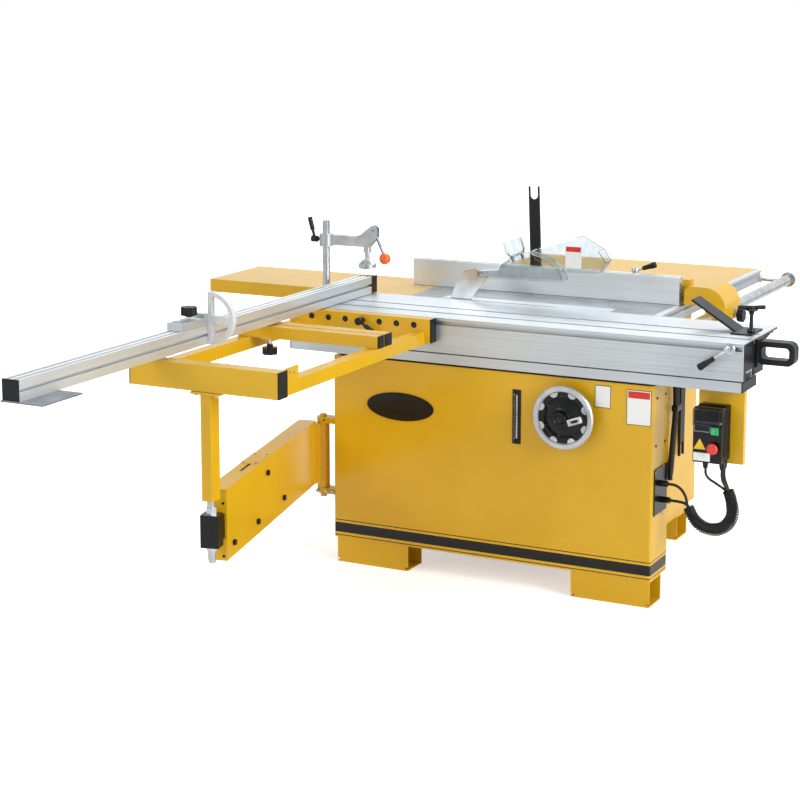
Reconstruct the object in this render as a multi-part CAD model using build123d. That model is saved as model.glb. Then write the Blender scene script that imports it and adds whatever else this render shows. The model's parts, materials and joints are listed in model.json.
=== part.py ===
"""Panel saw with a sliding table, an outrigger on a swing arm, a rip fence and a clear blade guard.

Sizes are millimetres. While the pieces are built, X runs along the sliding table towards the
operator's end with 0 at the cabinet's middle, Y runs back from the cabinet's front panel, and Z is
up from the floor. Before export everything is moved so that the origin is on the floor at the
middle of the whole machine's footprint.
"""
from build123d import *
from math import cos, radians, sin, tan
import os

os.makedirs("parts", exist_ok=True)

# ---------------------------------------------------------------- clearances
RUN_GAP = 0.05              # radial clearance of a shaft or pin in its bore
SLIP = 0.5                  # gap between faces that slide past each other
JOINT_GAP = 0.5             # gap round a loose plate in its pocket
OPEN_GAP = 1.0              # between the support post's flange and the outrigger it carries

# ---------------------------------------------------------------- tables and cabinets
TABLE_TOP = 888.0           # fixed tables, above the floor
SLIDE_TOP = 889.0           # the sliding table stands slightly proud of them
SHEET = 3.0                 # steel sheet of the cabinets
CABINET_W = 1152.0
CABINET_D = 153.0
CABINET_BOTTOM = 88.0
CABINET_TOP = 727.0
FOOT_W = 272.0
FOOT_D = 108.0
FOOT_SHEET = 5.0
FOOT_STEP = 12.0            # cut-back of a foot's lower corners
LEFT_FOOT_X = -564.0
WING_W = 1124.0             # upper wing of the rear cabinet, over a narrower base
WING_BACK = 470.0
WING_BOTTOM = 250.0
BASE_W = 800.0
BASE_BACK = 880.0
REAR_FOOT_W = 160.0
OUTLET_R = 60.0             # dust outlet in the back of the base
OUTLET_L = 50.0
OUTLET_Z = 260.0

BEAM_L = 1600.0             # slide beam, and the sliding table above it
BEAM_MIDDLE = 63.0
BEAM_FRONT = -10.0
BEAM_D = 145.0
BEAM_BOTTOM = 736.0
BEAM_H = 32.0
SPINE_W = 66.0
SPINE_H = 27.0
SPINE_GAP = 6.0
SLIDE_GAP = 4.0
TABLE_W = 362.0
BODY_W = 213.0
WALL = 5.0
OVERHANG_T = 9.0           # the table's thin edge beside the blade, and its taper
OVERHANG_TAPER = 50.0
SLOT_MOUTH = 14.0           # T-slots
SLOT_NECK = 6.0
SLOT_W = 24.0
SLOT_H = 9.0
SLOT_Y = (80.0, 178.0)
SIDE_SLOT_Z = 872.0
SIDE_GROOVES = (798.0, 836.0)
GROOVE = 1.5
CAP_T = 4.0

EDGE_GAP = 8.0              # between the sliding table and the fixed tables
MAIN_LEFT = -467.0
MAIN_RIGHT = 441.0
MAIN_D = 396.0
TABLE_H = 48.0
PLATE_T = 10.0
RIB_T = 9.0
INSERT_LEFT = -345.0
INSERT_RIGHT = 285.0
INSERT_D = 62.0
INSERT_T = 6.0
LEDGE = 8.0
OUTFEED_L = 833.0
OUTFEED_D = 358.0
PAN_T = 4.0
RIP_EXT_BACK = 1531.0

# ---------------------------------------------------------------- blade and its lift
BLADE_X = -80.0
BLADE_Y = 367.0
BLADE_R = 155.0
BLADE_T = 3.2
BLADE_DROP = 163.0          # lowered blade's centre below the table top
ARBOR_R = 12.0
HOUSING_R = 30.0
HOUSING_Y = (378.0, 440.0)
LIFT_PLATE_Y = 396.0
LIFT_PLATE_T = 12.0
MOTOR_X = 190.0
MOTOR_Z = 520.0
MOTOR_R = 65.0
MOTOR_L = 190.0
PULLEY_R = 30.0
PULLEY_W = 22.0
PULLEY_Y = 456.0
BELT_T = 4.0
BELT_GAP = 0.3
GUIDE_R = 12.0
GUIDE_Y = 430.0
GUIDE_X = (-165.0, 5.0)
GUIDE_BOTTOM = 508.0
BUSH_R = 22.0
BUSH_Z = (640.0, 700.0)
KNIFE_T = 2.6
KNIFE_SCREW = (-184.0, 982.0)
WHEEL_X = 288.0             # handwheel
WHEEL_Z = 606.0
WHEEL_R = 105.0
WHEEL_Y = -45.0             # middle of its rim
WHEEL_SHAFT_R = 10.0
WHEEL_SHAFT_END = 100.0
CRANK_R = 8.0
CRANK_L = 66.0
CRANK_IN = 10.0             # grip's inner end from the wheel's axis
CRANK_DROP = 4.0
RIM_W = 21.0
RIM_T = 18.0
RIM_EDGE = 4.0
GRIP_COUNT = 8              # round grips inside the rim
GRIP_R = 14.0
GRIP_T = 8.0
DISH_T = 5.0
DISH_FOOT_R = 40.0
DISH_FOOT_H = 16.0
HUB_R = 30.0
HUB_TOP_R = 25.0
HUB_H = 40.0

# ---------------------------------------------------------------- blade guard
GUARD_W = 50.0
GUARD_WALL = 3.0
PORT_R = 35.0
PORT_TILT = 20.0
PORT_L = 40.0
PORT_AT = (-54.0, 1044.0)
VISOR_PIN = (119.0, 1027.0)
HOOD_MOUTH = (-192.0, 117.0, 960.0, 985.0)
HOOD_OUTLINE = ((-137.0, 973.0), (122.0, 979.0), (116.0, 1000.0), (100.0, 1024.0), (60.0, 1054.0),
                (-4.0, 1072.0), (-60.0, 1066.0), (-104.0, 1026.0), (-118.0, 1004.0), (-196.0, 996.0),
                (-196.0, 974.0))
VISOR_OUTLINE = ((10.0, 1082.0), (174.0, 1136.0), (250.0, 1096.0), (278.0, 1056.0), (249.0, 1018.0),
                 (122.0, 1014.0), (104.0, 1024.0), (20.0, 1052.0))
VISOR_MOUTH = ((0.0, 1078.0), (0.0, 1040.0), (118.0, 1000.0), (250.0, 1000.0), (244.0, 1030.0),
               (150.0, 1080.0), (40.0, 1086.0))

# ---------------------------------------------------------------- rip fence
RAIL_W = 26.0               # scale rail on the tables' right edge
RAIL_H = 42.0
RAIL_BACK = 1500.0
BAR_R = 20.0                # round guide bar beside it
BAR_X = 570.0
BAR_Z = 858.0
BAR_FRONT = 400.0
BAR_FLANGE_R = 28.0
STUD_R = 8.0
RIP_FACE = 588.0
RIP_RIGHT = 451.0
RIP_L = 1018.0
RIP_H = 95.0
RIP_T = 38.0
CARRIAGE_X0 = 468.0
CARRIAGE_X1 = 614.0
CARRIAGE_L = 170.0
CARRIAGE_TOP = 956.0
CARRIAGE_BOTTOM = 838.0
ARCH_R = 70.0               # outer corner of the carriage's arch
ARCH_EDGE = 14.0
FENCE_ARM_H = 84.0
FENCE_ARM_T = 34.0
LOCK_X = 270.0
LOCK_Y = 644.0
LOCK_REACH = 76.0
LOCK_RISE = 42.0
STICK_W = 40.0              # push sticks
STICK_T = 8.0
STICK_NOTCH = 46.0
STICK_TINE = 5.0
STICK_LEAN = 2.2
HOLDER_X = -100.0
HOLDER_Z = 948.0
HOLDER_H = 36.0
HOLDER_WALL = 4.0
UPRIGHT_L = 318.0
HANGING_L = 280.0
HANGING_TOP = 720.0
HANGING_Y = 299.0
HANGING_GAP = 3.0

# ---------------------------------------------------------------- crosscut fence and outrigger
CROSS_X = -624.5
CROSS_W = 55.0
CROSS_H = 60.0
CROSS_NEAR = -1680.0
CROSS_FAR = 318.0
CROSS_GAP = 2.0
NOSE_L = 42.0
STOP_Y = -756.0
STOP_L = 140.0
STOP_H = 24.0
STOP_R = 81.0
STOP_T = 20.0
STOP_RIM = 14.0
STOP_PIN_R = 6.0
STOP_KNOB_STEM = 12.0

OUT_X0 = -717.0
OUT_X1 = -206.0
OUT_FRONT = -1000.0
OUT_TOP = 881.0
FRONT_TUBE_H = 80.0
FRONT_TUBE_D = 52.0
SIDE_TUBE_W = 40.0
SIDE_TUBE_Z = 803.0
SIDE_TUBE_H = 42.0
TUBE_WALL = 3.0
CHANNEL_Z = 808.0
CHANNEL_H = 80.0
CHANNEL_D = 40.0
HOLE_COUNT = 7
HOLE_PITCH = 64.5
HOLE_X = -632.0
HOLE_R = 10.5
HOLE_DROP = 6.0             # holes below the side slot's middle
CHANNEL_WALL = 4.0
CHANNEL_OVER = 20.0         # channel's run past the side tube
SUPPORT_Y = (-382.0, -345.0, -335.0, -290.0)
SUPPORT_TOP = 885.0
CLAMP_REST_X = -625.0

# ---------------------------------------------------------------- hold-down clamp
COLUMN_IN = 36.0            # column's axis from the sliding table's left end
COLUMN_R = 12.5
COLUMN_OVER = 48.0          # column above the arm
ARM_Z = 1075.0
ARM_T = 39.0
REACH = 150.0
REACH_TURN = 10.0
ARM_HALF = 14.0             # half width of the casting
BOSS_R = 24.0
SCREW_BOSS_R = 13.0
SCREW_BOSS_H = 20.0
CLAMP_SCREW_R = 8.0
CLAMP_SCREW_OVER = 8.0      # screw above the arm
CAM_X = 24.0                # cam's axis from the screw, along the arm
CAM_RISE = 20.0             # and above the arm
CAM_R = 10.0
CAM_PIN_R = 4.0
HEAD_R = 16.0
PAD_R = 30.5
PAD_DROP = 75.0             # pad's foot below the arm
BALL_R = 20.0
BALL_OUT = 64.0             # cam lever's ball from the screw, along the arm
BALL_DROP = 39.0            # and below the arm

# ---------------------------------------------------------------- swing arm
PIVOT_OUT = 64.0            # pivot beside the cabinet's side
PIVOT_Y = 40.0
ARM_TILT = 12.98            # from square to the table
ARM_SIDE = 15.8             # arm's near wall beside the pivot axis
ARM_W = 62.0
ARM_START = 37.4
ARM_SHORT = 49.5            # arm's end from the post's axis, clear of the post when it is pushed in
ARM_BOTTOM = 268.0
ARM_TOP = 490.0
ARM_WALL = 4.0
BARREL_R = 22.0
BARREL_Z = (249.0, 479.0)
PIN_R = 12.0
LUG_T = 20.0
INNER_W = 46.0
INNER_Z = (338.0, 413.5)
INNER_L = 430.0
NOSE_W = 56.0               # block at the bar's outer end
NOSE_Z = (325.0, 426.0)
ROOT_START = 14.0           # arm's root, from the hinge axis
POST_REACH = 1029.0
POST_W = 36.0
POST_D = 48.0
POST_BOTTOM = 468.0
FLANGE_W = 98.0
FLANGE_T = 8.0
SCREW_R = 11.0
SCREW_BOTTOM = 277.0
NUT_R = 17.0

# ---------------------------------------------------------------- electrics
SWITCH_IN = 98.0            # switch box's middle from the beam's end
SWITCH_W = 94.0
SWITCH_FRONT = -30.0
SWITCH_BACK = 60.0
SWITCH_Z = (508.0, 684.0)
SWITCH_WALL = 3.0
START_AT = (25.0, 613.0)    # buttons, from the box's middle
STOP_AT = (21.0, 558.0)
HINGE_R = 3.0               # flap's hinge barrel
BRACKET_T = 4.0
PLATE_Y = 78.0
PLATE_Z = 376.0
CABLE_R = 4.5
CABLE_APART = 5.0
CONDUIT_R = 17.0
CONDUIT_BORE = 14.5
GLAND_R = 10.0
GLAND_L = 28.0

GLAND_IN = 35.0             # switch box's glands from its middle
GLAND_Y = (18.0, 42.0)
PLATE_GLANDS = ((66.0, 400.0), (90.0, 340.0))
CABLE_STARTS = (((24.0, 0.0), (46.0, -12.0), (60.0, -34.0)), ((28.0, 0.0), (50.0, -3.0)))
CONDUIT_LINE = ((0.4375, 76.0, 330.0), (0.5446, 70.0, 292.0), (0.75, 61.0, 271.0), (1.0, 50.0, 284.0),
                (1.1384, 41.0, 330.0), (1.1161, 34.0, 388.0), (1.0804, 31.0, 412.0))

PUSH_L = 123.0
PUSH_H = 75.0
PUSH_GRIP = 18.0
SHOE_IN = 31.0              # edging shoe's post from the table's end
TABLE_LOCK_IN = 40.0

# ---------------------------------------------------------------- derived places
MAIN_FRONT = BEAM_FRONT + TABLE_W + EDGE_GAP
MAIN_BACK = MAIN_FRONT + MAIN_D
UNDER_TABLE = TABLE_TOP - TABLE_H
SLIDE_BOTTOM = BEAM_BOTTOM + BEAM_H + SLIDE_GAP
BEAM_X0 = BEAM_MIDDLE - BEAM_L / 2
BEAM_X1 = BEAM_MIDDLE + BEAM_L / 2
TABLE_BACK = BEAM_FRONT + TABLE_W
BODY_BACK = BEAM_FRONT + BODY_W
PUSH_END = BEAM_X1 + CAP_T + PUSH_L
SHOE_X = BEAM_X1 - SHOE_IN
COLUMN_X = BEAM_X0 + COLUMN_IN
COLUMN_TOP = ARM_Z + ARM_T + COLUMN_OVER
CLAMP_SCREW_TOP = ARM_Z + ARM_T + CLAMP_SCREW_OVER
PAD_Z = ARM_Z - PAD_DROP
BALL_Z = ARM_Z - BALL_DROP
SWITCH_X = BEAM_X1 - SWITCH_IN
START = (SWITCH_X + START_AT[0], START_AT[1])
STOP = (SWITCH_X + STOP_AT[0], STOP_AT[1])
OUTFEED_X0 = MAIN_LEFT - OUTFEED_L
RIP_BACK = RIP_FACE + RIP_T
BLADE_Z = TABLE_TOP - BLADE_DROP
RAIL_X1 = MAIN_RIGHT + RAIL_W
RIP_Z = TABLE_TOP + 1.0
FENCE_ARM_TOP = RIP_Z + FENCE_ARM_H
CROSS_Z = SLIDE_TOP + CROSS_GAP
CROSS_TOP = CROSS_Z + CROSS_H
HALF_CABINET = CABINET_W / 2
PIVOT = (-HALF_CABINET - PIVOT_OUT, PIVOT_Y)
ARM_MID = ARM_SIDE + ARM_W / 2
ARM_END = POST_REACH - ARM_SHORT
TILT = radians(ARM_TILT)
POST_X = PIVOT[0] + POST_REACH * sin(TILT) - ARM_MID * cos(TILT)
POST_Y = PIVOT[1] - POST_REACH * cos(TILT) - ARM_MID * sin(TILT)
POST_TOP = OUT_TOP - FRONT_TUBE_H - OPEN_GAP
HOLE_Z = SIDE_SLOT_Z - HOLE_DROP
CAM_Z = ARM_Z + ARM_T + CAM_RISE
STOP_FLAT = CROSS_X + CROSS_W / 2 + SLIP
STOP_PIN_X = CROSS_X + 11
STOP_PIN_Z = CROSS_TOP + 18
HEAD_X = COLUMN_X + REACH * cos(radians(REACH_TURN))
HEAD_Y = SLOT_Y[1] + REACH * sin(radians(REACH_TURN))
GLAND_X = SWITCH_X + GLAND_IN
CONDUIT_ROUTE = [(HALF_CABINET + share * (GLAND_X - HALF_CABINET), y, z) for share, y, z in CONDUIT_LINE]
FLAP_PIN = (SWITCH_FRONT - SLIP - HINGE_R, SWITCH_Z[1] - HINGE_R - 1)
DATUM_X = (OUTFEED_X0 + PUSH_END) / 2
DATUM_Y = (CROSS_NEAR - CAP_T + RIP_EXT_BACK) / 2


# ---------------------------------------------------------------- shape helpers
def slab(x0, x1, y0, y1, z0, z1):
    """Rectangular block between two corners."""
    return Pos((x0 + x1) / 2, (y0 + y1) / 2, (z0 + z1) / 2) * Box(x1 - x0, y1 - y0, z1 - z0)


def along_x(points, x0, x1):
    """Closed outline of (y, z) points, run from x0 to x1."""
    face = make_face(Polyline(*[(x0, y, z) for y, z in points], close=True))
    return extrude(face, x1 - x0, dir=(1, 0, 0))


def along_y(points, y0, y1):
    """Closed outline of (x, z) points, run from y0 to y1."""
    face = make_face(Polyline(*[(x, y0, z) for x, z in points], close=True))
    return extrude(face, y1 - y0, dir=(0, 1, 0))


def along_z(points, z0, z1):
    """Closed outline of (x, y) points, run from z0 to z1."""
    face = make_face(Polyline(*[(x, y, z0) for x, y in points], close=True))
    return extrude(face, z1 - z0, dir=(0, 0, 1))


def rod(start, end, radius):
    """Round bar between two points."""
    axis = Vector(*end) - Vector(*start)
    bar = Cylinder(radius, axis.length, align=(Align.CENTER, Align.CENTER, Align.MIN))
    return Plane(origin=start, z_dir=axis) * bar


def turned(outline, at, z_dir=(0, 0, 1)):
    """Outline of (radius, height) points turned about the axis through at along z_dir."""
    face = make_face(Polyline(*[(r, 0, h) for r, h in outline], close=True))
    return Plane(origin=at, z_dir=z_dir) * revolve(face, Axis.Z)


def box_tube(x0, x1, y0, y1, z0, z1, run, wall=TUBE_WALL):
    """Rectangular tube open at both ends along the run axis."""
    grow = {"x": (1, -wall, -wall), "y": (-wall, 1, -wall)}[run]
    gx, gy, gz = grow
    return slab(x0, x1, y0, y1, z0, z1) - slab(x0 - gx, x1 + gx, y0 - gy, y1 + gy, z0 - gz, z1 + gz)


def star_knob(at, z_dir, radius, height, stem_r, stem_l, lobes=7):
    """Moulded star knob on a stem that starts at the given point."""
    low = (Align.CENTER, Align.CENTER, Align.MIN)
    head = Pos(0, 0, stem_l) * Cylinder(radius, height, align=low)
    for i in range(lobes):
        bite = Pos(radius * 1.1, 0, stem_l) * Cylinder(radius * 0.26, 3 * height)
        head -= Rot(0, 0, 360 / lobes * i) * bite
    neck = Pos(0, 0, stem_l * 0.6) * Cylinder(radius * 0.42, stem_l * 0.4, align=low)
    stem = Cylinder(stem_r, stem_l, align=low)
    return Plane(origin=at, z_dir=z_dir) * (head + neck + stem)


def clamp_lever(at, axis, reach, stem_l, hub_r, hub_h, grip_r, stem_r):
    """Clamp lever: a stem along the axis, a round hub and a grip that ends at reach."""
    at = Vector(*at)
    axis = Vector(*axis).normalized()
    hub_low = at + axis * stem_l
    hub_top = hub_low + axis * hub_h
    hub_mid = hub_low + axis * (hub_h / 2)
    grip_at = hub_mid + (Vector(*reach) - hub_mid) * 0.4
    lever = rod(tuple(at), tuple(hub_top), stem_r) + rod(tuple(hub_low), tuple(hub_top), hub_r)
    lever += rod(tuple(hub_mid), tuple(grip_at), grip_r * 0.6)
    return lever + rod(tuple(grip_at), reach, grip_r)


def t_slot(top, centre):
    """Corners of a T-slot that opens upwards at the given height."""
    neck = top - SLOT_NECK
    low = neck - SLOT_H
    half = SLOT_MOUTH / 2
    wide = SLOT_W / 2
    return [(centre - half, top + 1), (centre - half, neck), (centre - wide, neck),
            (centre - wide, low), (centre + wide, low), (centre + wide, neck),
            (centre + half, neck), (centre + half, top + 1)]


def route(points):
    """Straight runs joined by tangent arcs, as one wire; also the arcs' radii."""
    pts = [Vector(*p) for p in points]
    edges = []
    radii = []
    here = pts[0]
    for i in range(1, len(pts) - 1):
        back = (pts[i - 1] - pts[i])
        ahead = (pts[i + 1] - pts[i])
        turn = radians(180 - back.get_angle(ahead))
        cut = 0.45 * min(back.length, ahead.length)
        start = pts[i] + back.normalized() * cut
        end = pts[i] + ahead.normalized() * cut
        radius = cut / tan(turn / 2)
        centre_way = (back.normalized() + ahead.normalized()).normalized()
        middle = pts[i] + centre_way * (radius / cos(turn / 2) - radius)
        edges.append(Line(tuple(here), tuple(start)))
        edges.append(ThreePointArc(tuple(start), tuple(middle), tuple(end)))
        radii.append(round(radius, 1))
        here = end
    edges.append(Line(tuple(here), tuple(pts[-1])))
    return Wire(edges), radii


def cord(points, radius):
    """Round cord along a route."""
    wire, radii = route(points)
    section = Plane(origin=wire @ 0, z_dir=wire % 0) * Circle(radius)
    print("cord radius", radius, "length", round(wire.length, 1), "bends", radii)
    return sweep(section, path=wire)


NODES = {}


def node(name, *solids):
    """Keep the solids of one node for export."""
    NODES[name] = list(solids)


# ---------------------------------------------------------------- cabinets and feet
def folded_foot(x0, x1, y0, y1):
    """Channel folded from plate, open at both ends, its front wall cut back at the corners."""
    foot = slab(x0, x1, y0, y1, 0, CABINET_BOTTOM)
    foot -= slab(x0 - 1, x1 + 1, y0 + FOOT_SHEET, y1 - FOOT_SHEET,
                 FOOT_SHEET, CABINET_BOTTOM - FOOT_SHEET)
    for x in (x0 - 1, x1 - FOOT_STEP):
        foot -= slab(x, x + FOOT_STEP + 1, y0 - 1, y0 + FOOT_SHEET + 1, FOOT_SHEET, FOOT_STEP)
    return foot


def front_cabinet():
    half = HALF_CABINET
    shell = slab(-half, half, 0, CABINET_D, CABINET_BOTTOM, CABINET_TOP)
    shell = fillet(shell.edges().filter_by(Axis.Z).group_by(Axis.Y)[0], 6)
    shell -= slab(-half + SHEET, half - SHEET, SHEET, CABINET_D + 1,
                  CABINET_BOTTOM + SHEET, CABINET_TOP - SHEET)
    shell -= slab(103, 111, -1, SHEET + 1, 506, 658)
    shell -= rod((WHEEL_X, -1, WHEEL_Z), (WHEEL_X, SHEET + 1, WHEEL_Z), WHEEL_SHAFT_R + 2)
    for y in (33.0, 114.0):
        for z in (528.0, 683.0):
            shell -= rod((half - SHEET - 1, y, z), (half + 1, y, z), 3.5)
    return shell


def rear_cabinet():
    """Wide wing behind the front cabinet, over a narrower base whose top carries the tables."""
    half = WING_W / 2
    side = BASE_W / 2
    shell = slab(-half, half, CABINET_D, WING_BACK, WING_BOTTOM, CABINET_TOP)
    shell += slab(-side, side, CABINET_D, BASE_BACK, CABINET_BOTTOM, CABINET_TOP)
    shell += slab(-side, side, MAIN_FRONT, BASE_BACK, CABINET_TOP, UNDER_TABLE)
    shell -= slab(-half + SHEET, half - SHEET, CABINET_D - 1, WING_BACK - SHEET,
                  WING_BOTTOM + SHEET, CABINET_TOP - SHEET)
    shell -= slab(-side + SHEET, side - SHEET, CABINET_D - 1, BASE_BACK - SHEET,
                  CABINET_BOTTOM + SHEET, UNDER_TABLE + 1)
    return shell - rod((0, BASE_BACK - SHEET - 1, OUTLET_Z), (0, BASE_BACK + 1, OUTLET_Z), OUTLET_R)


def dust_outlet():
    """Flanged collar on the back of the base."""
    flange = OUTLET_R + 25
    outline = [(OUTLET_R, 0), (flange, 0), (flange, SHEET), (OUTLET_R + SHEET, SHEET),
               (OUTLET_R + SHEET, OUTLET_L), (OUTLET_R, OUTLET_L)]
    return turned(outline, (0, BASE_BACK, OUTLET_Z), (0, 1, 0))


node("front_cabinet", front_cabinet())
node("rear_cabinet", rear_cabinet(), dust_outlet())
node("feet",
     folded_foot(LEFT_FOOT_X, LEFT_FOOT_X + FOOT_W, 0, FOOT_D),
     folded_foot(HALF_CABINET - FOOT_W, HALF_CABINET, 0, FOOT_D),
     folded_foot(-BASE_W / 2, -BASE_W / 2 + REAR_FOOT_W, BASE_BACK - FOOT_D, BASE_BACK),
     folded_foot(BASE_W / 2 - REAR_FOOT_W, BASE_W / 2, BASE_BACK - FOOT_D, BASE_BACK))


# ---------------------------------------------------------------- slide beam and sliding table
def slide_beam():
    y0 = BEAM_FRONT
    y1 = BEAM_FRONT + BEAM_D
    top = BEAM_BOTTOM + BEAM_H
    mid = (y0 + y1) / 2
    s0 = mid - SPINE_W / 2
    s1 = mid + SPINE_W / 2
    outline = [(y0, BEAM_BOTTOM), (y1, BEAM_BOTTOM), (y1, top), (s1, top), (s1, top + SPINE_H),
               (s0, top + SPINE_H), (s0, top), (y0, top)]
    beam = along_x(outline, BEAM_X0, BEAM_X1)
    low = BEAM_BOTTOM + WALL
    for a, b, h in ((y0 + WALL, s0, top - WALL), (s0 + WALL, s1 - WALL, top + SPINE_H - WALL),
                    (s1, y1 - WALL, top - WALL)):
        beam -= slab(BEAM_X0 - 1, BEAM_X1 + 1, a, b, low, h)
    return beam


def table_section(top):
    """Outer (y, z) corners of the sliding table below the given top."""
    slot_low = SLIDE_TOP - SLOT_NECK - SLOT_H
    taper = TABLE_BACK - OVERHANG_TAPER
    thin = SLIDE_TOP - OVERHANG_T
    return [(BEAM_FRONT, SLIDE_BOTTOM), (BODY_BACK, SLIDE_BOTTOM), (BODY_BACK, slot_low - WALL * 2),
            (taper, thin), (TABLE_BACK, thin), (TABLE_BACK, top), (BEAM_FRONT, top)]


def spine_channel():
    """Sides and top of the channel that rides over the beam's spine."""
    mid = BEAM_FRONT + BEAM_D / 2
    half = SPINE_W / 2 + SPINE_GAP
    return mid - half, mid + half, BEAM_BOTTOM + BEAM_H + SPINE_H + SPINE_GAP


def sliding_table():
    """Extruded table: a hollow body over the beam's spine and a thin overhang towards the blade."""
    y0 = BEAM_FRONT
    top = SLIDE_TOP
    low = SLIDE_BOTTOM
    slot_low = top - SLOT_NECK - SLOT_H
    table = along_x(table_section(top), BEAM_X0, BEAM_X1)
    c0, c1, spine_top = spine_channel()
    x0 = BEAM_X0 - 1
    x1 = BEAM_X1 + 1
    table -= slab(x0, x1, c0, c1, low - 1, spine_top)
    table -= slab(x0, x1, y0 + WALL, c0 - WALL, low + WALL, SIDE_SLOT_Z - SLOT_W / 2 - WALL)
    table -= slab(x0, x1, c0, c1, spine_top + WALL, slot_low - WALL)
    table -= slab(x0, x1, c1 + WALL, BODY_BACK - WALL, low + WALL, slot_low - WALL)
    for y in SLOT_Y:
        table -= along_x(t_slot(top, y), x0, x1)
    for z in SIDE_GROOVES:
        table -= slab(x0, x1, y0 - 1, y0 + GROOVE, z - GROOVE, z + GROOVE)
    side = [(-z + y0, y + SIDE_SLOT_Z) for y, z in t_slot(0, 0)]
    return table - along_x(side, x0, x1)


def table_cap(x0, x1):
    """Moulded cap over one end of the sliding table."""
    cap = along_x(table_section(SLIDE_TOP - SLIP), x0, x1)
    c0, c1, spine_top = spine_channel()
    return cap - slab(x0 - 1, x1 + 1, c0, c1, SLIDE_BOTTOM - 1, spine_top)


def beam_cap(x0, x1):
    return slab(x0, x1, BEAM_FRONT, BEAM_FRONT + BEAM_D, BEAM_BOTTOM, BEAM_BOTTOM + BEAM_H)


node("slide_beam", slide_beam())
node("beam_trim",
     beam_cap(BEAM_X0 - CAP_T, BEAM_X0), beam_cap(BEAM_X1, BEAM_X1 + CAP_T),
     slab(-HALF_CABINET + 20, HALF_CABINET - 20, 8, 132, CABINET_TOP, BEAM_BOTTOM))
node("sliding_table", sliding_table())

tube_caps = []
for x0, x1 in ((OUT_X0 - CAP_T, OUT_X0), (OUT_X1, OUT_X1 + CAP_T)):
    tube_caps.append(slab(x0, x1, OUT_FRONT, OUT_FRONT + FRONT_TUBE_D, OUT_TOP - FRONT_TUBE_H, OUT_TOP))
for y0, y1 in (SUPPORT_Y[:2], SUPPORT_Y[2:]):
    z0 = SIDE_TUBE_Z + SIDE_TUBE_H
    tube_caps.append(slab(OUT_X1, OUT_X1 + CAP_T, y0, y1, z0, SUPPORT_TOP))
    tube_caps.append(slab(OUT_X0 - CAP_T, OUT_X0, y0, y1, z0, SUPPORT_TOP))
tube_caps.append(slab(OUT_X1 + CHANNEL_OVER, OUT_X1 + CHANNEL_OVER + CAP_T, BEAM_FRONT - CHANNEL_D,
                      BEAM_FRONT, CHANNEL_Z, CHANNEL_Z + CHANNEL_H))
node("table_end_caps", table_cap(BEAM_X0 - CAP_T, BEAM_X0), table_cap(BEAM_X1, BEAM_X1 + CAP_T),
     *tube_caps)


# ---------------------------------------------------------------- fixed tables
def main_table():
    x0, x1, y0, y1 = MAIN_LEFT, MAIN_RIGHT, MAIN_FRONT, MAIN_BACK
    table = slab(x0, x1, y0, y1, TABLE_TOP - PLATE_T, TABLE_TOP)
    table += slab(x0, x1, y0, y1, UNDER_TABLE, TABLE_TOP - PLATE_T)
    table -= slab(x0 + RIB_T, x1 - RIB_T, y0 + RIB_T, y1 - RIB_T, UNDER_TABLE - 1, TABLE_TOP - PLATE_T)
    for y in (540.0, 650.0):
        table += slab(x0, x1, y, y + RIB_T, UNDER_TABLE, TABLE_TOP - PLATE_T)
    for x in (-240.0, 250.0):
        table += slab(x, x + RIB_T, 540, y1, UNDER_TABLE, TABLE_TOP - PLATE_T)
    pocket = slab(INSERT_LEFT, INSERT_RIGHT, y0 - 1, y0 + INSERT_D, TABLE_TOP - INSERT_T, TABLE_TOP + 1)
    hole = slab(INSERT_LEFT + LEDGE, INSERT_RIGHT - LEDGE, y0 - 1, y0 + INSERT_D - LEDGE,
                UNDER_TABLE - 1, TABLE_TOP + 1)
    table -= pocket + hole
    for x, y in ((-86.0, 552.0), (235.0, 479.0), (261.0, 474.0)):
        table -= rod((x, y, TABLE_TOP - PLATE_T - 1), (x, y, TABLE_TOP + 1), 5)
    return table


def pan(x0, x1, y0, y1, ribs):
    """Table plate with turned-down edges and cross ribs, open underneath."""
    shell = slab(x0, x1, y0, y1, UNDER_TABLE, TABLE_TOP)
    shell -= slab(x0 + PAN_T, x1 - PAN_T, y0 + PAN_T, y1 - PAN_T, UNDER_TABLE - 1, TABLE_TOP - PAN_T)
    for i in range(1, ribs + 1):
        x = x0 + (x1 - x0) * i / (ribs + 1)
        shell += slab(x, x + PAN_T, y0, y1, UNDER_TABLE + 10, TABLE_TOP - PAN_T)
    return shell


def table_insert():
    plate = slab(INSERT_LEFT + JOINT_GAP, INSERT_RIGHT - JOINT_GAP, MAIN_FRONT,
                 MAIN_FRONT + INSERT_D - JOINT_GAP, TABLE_TOP - INSERT_T, TABLE_TOP)
    return plate - slab(-336, 88, BLADE_Y - 4, BLADE_Y + 4, TABLE_TOP - 10, TABLE_TOP + 1)


node("main_table", main_table())
node("table_insert", table_insert())
node("outfeed_table", pan(OUTFEED_X0, MAIN_LEFT, MAIN_FRONT, MAIN_FRONT + OUTFEED_D, 3))
node("rip_extension_table", pan(MAIN_LEFT, MAIN_RIGHT, MAIN_BACK, RIP_EXT_BACK, 3))


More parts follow.
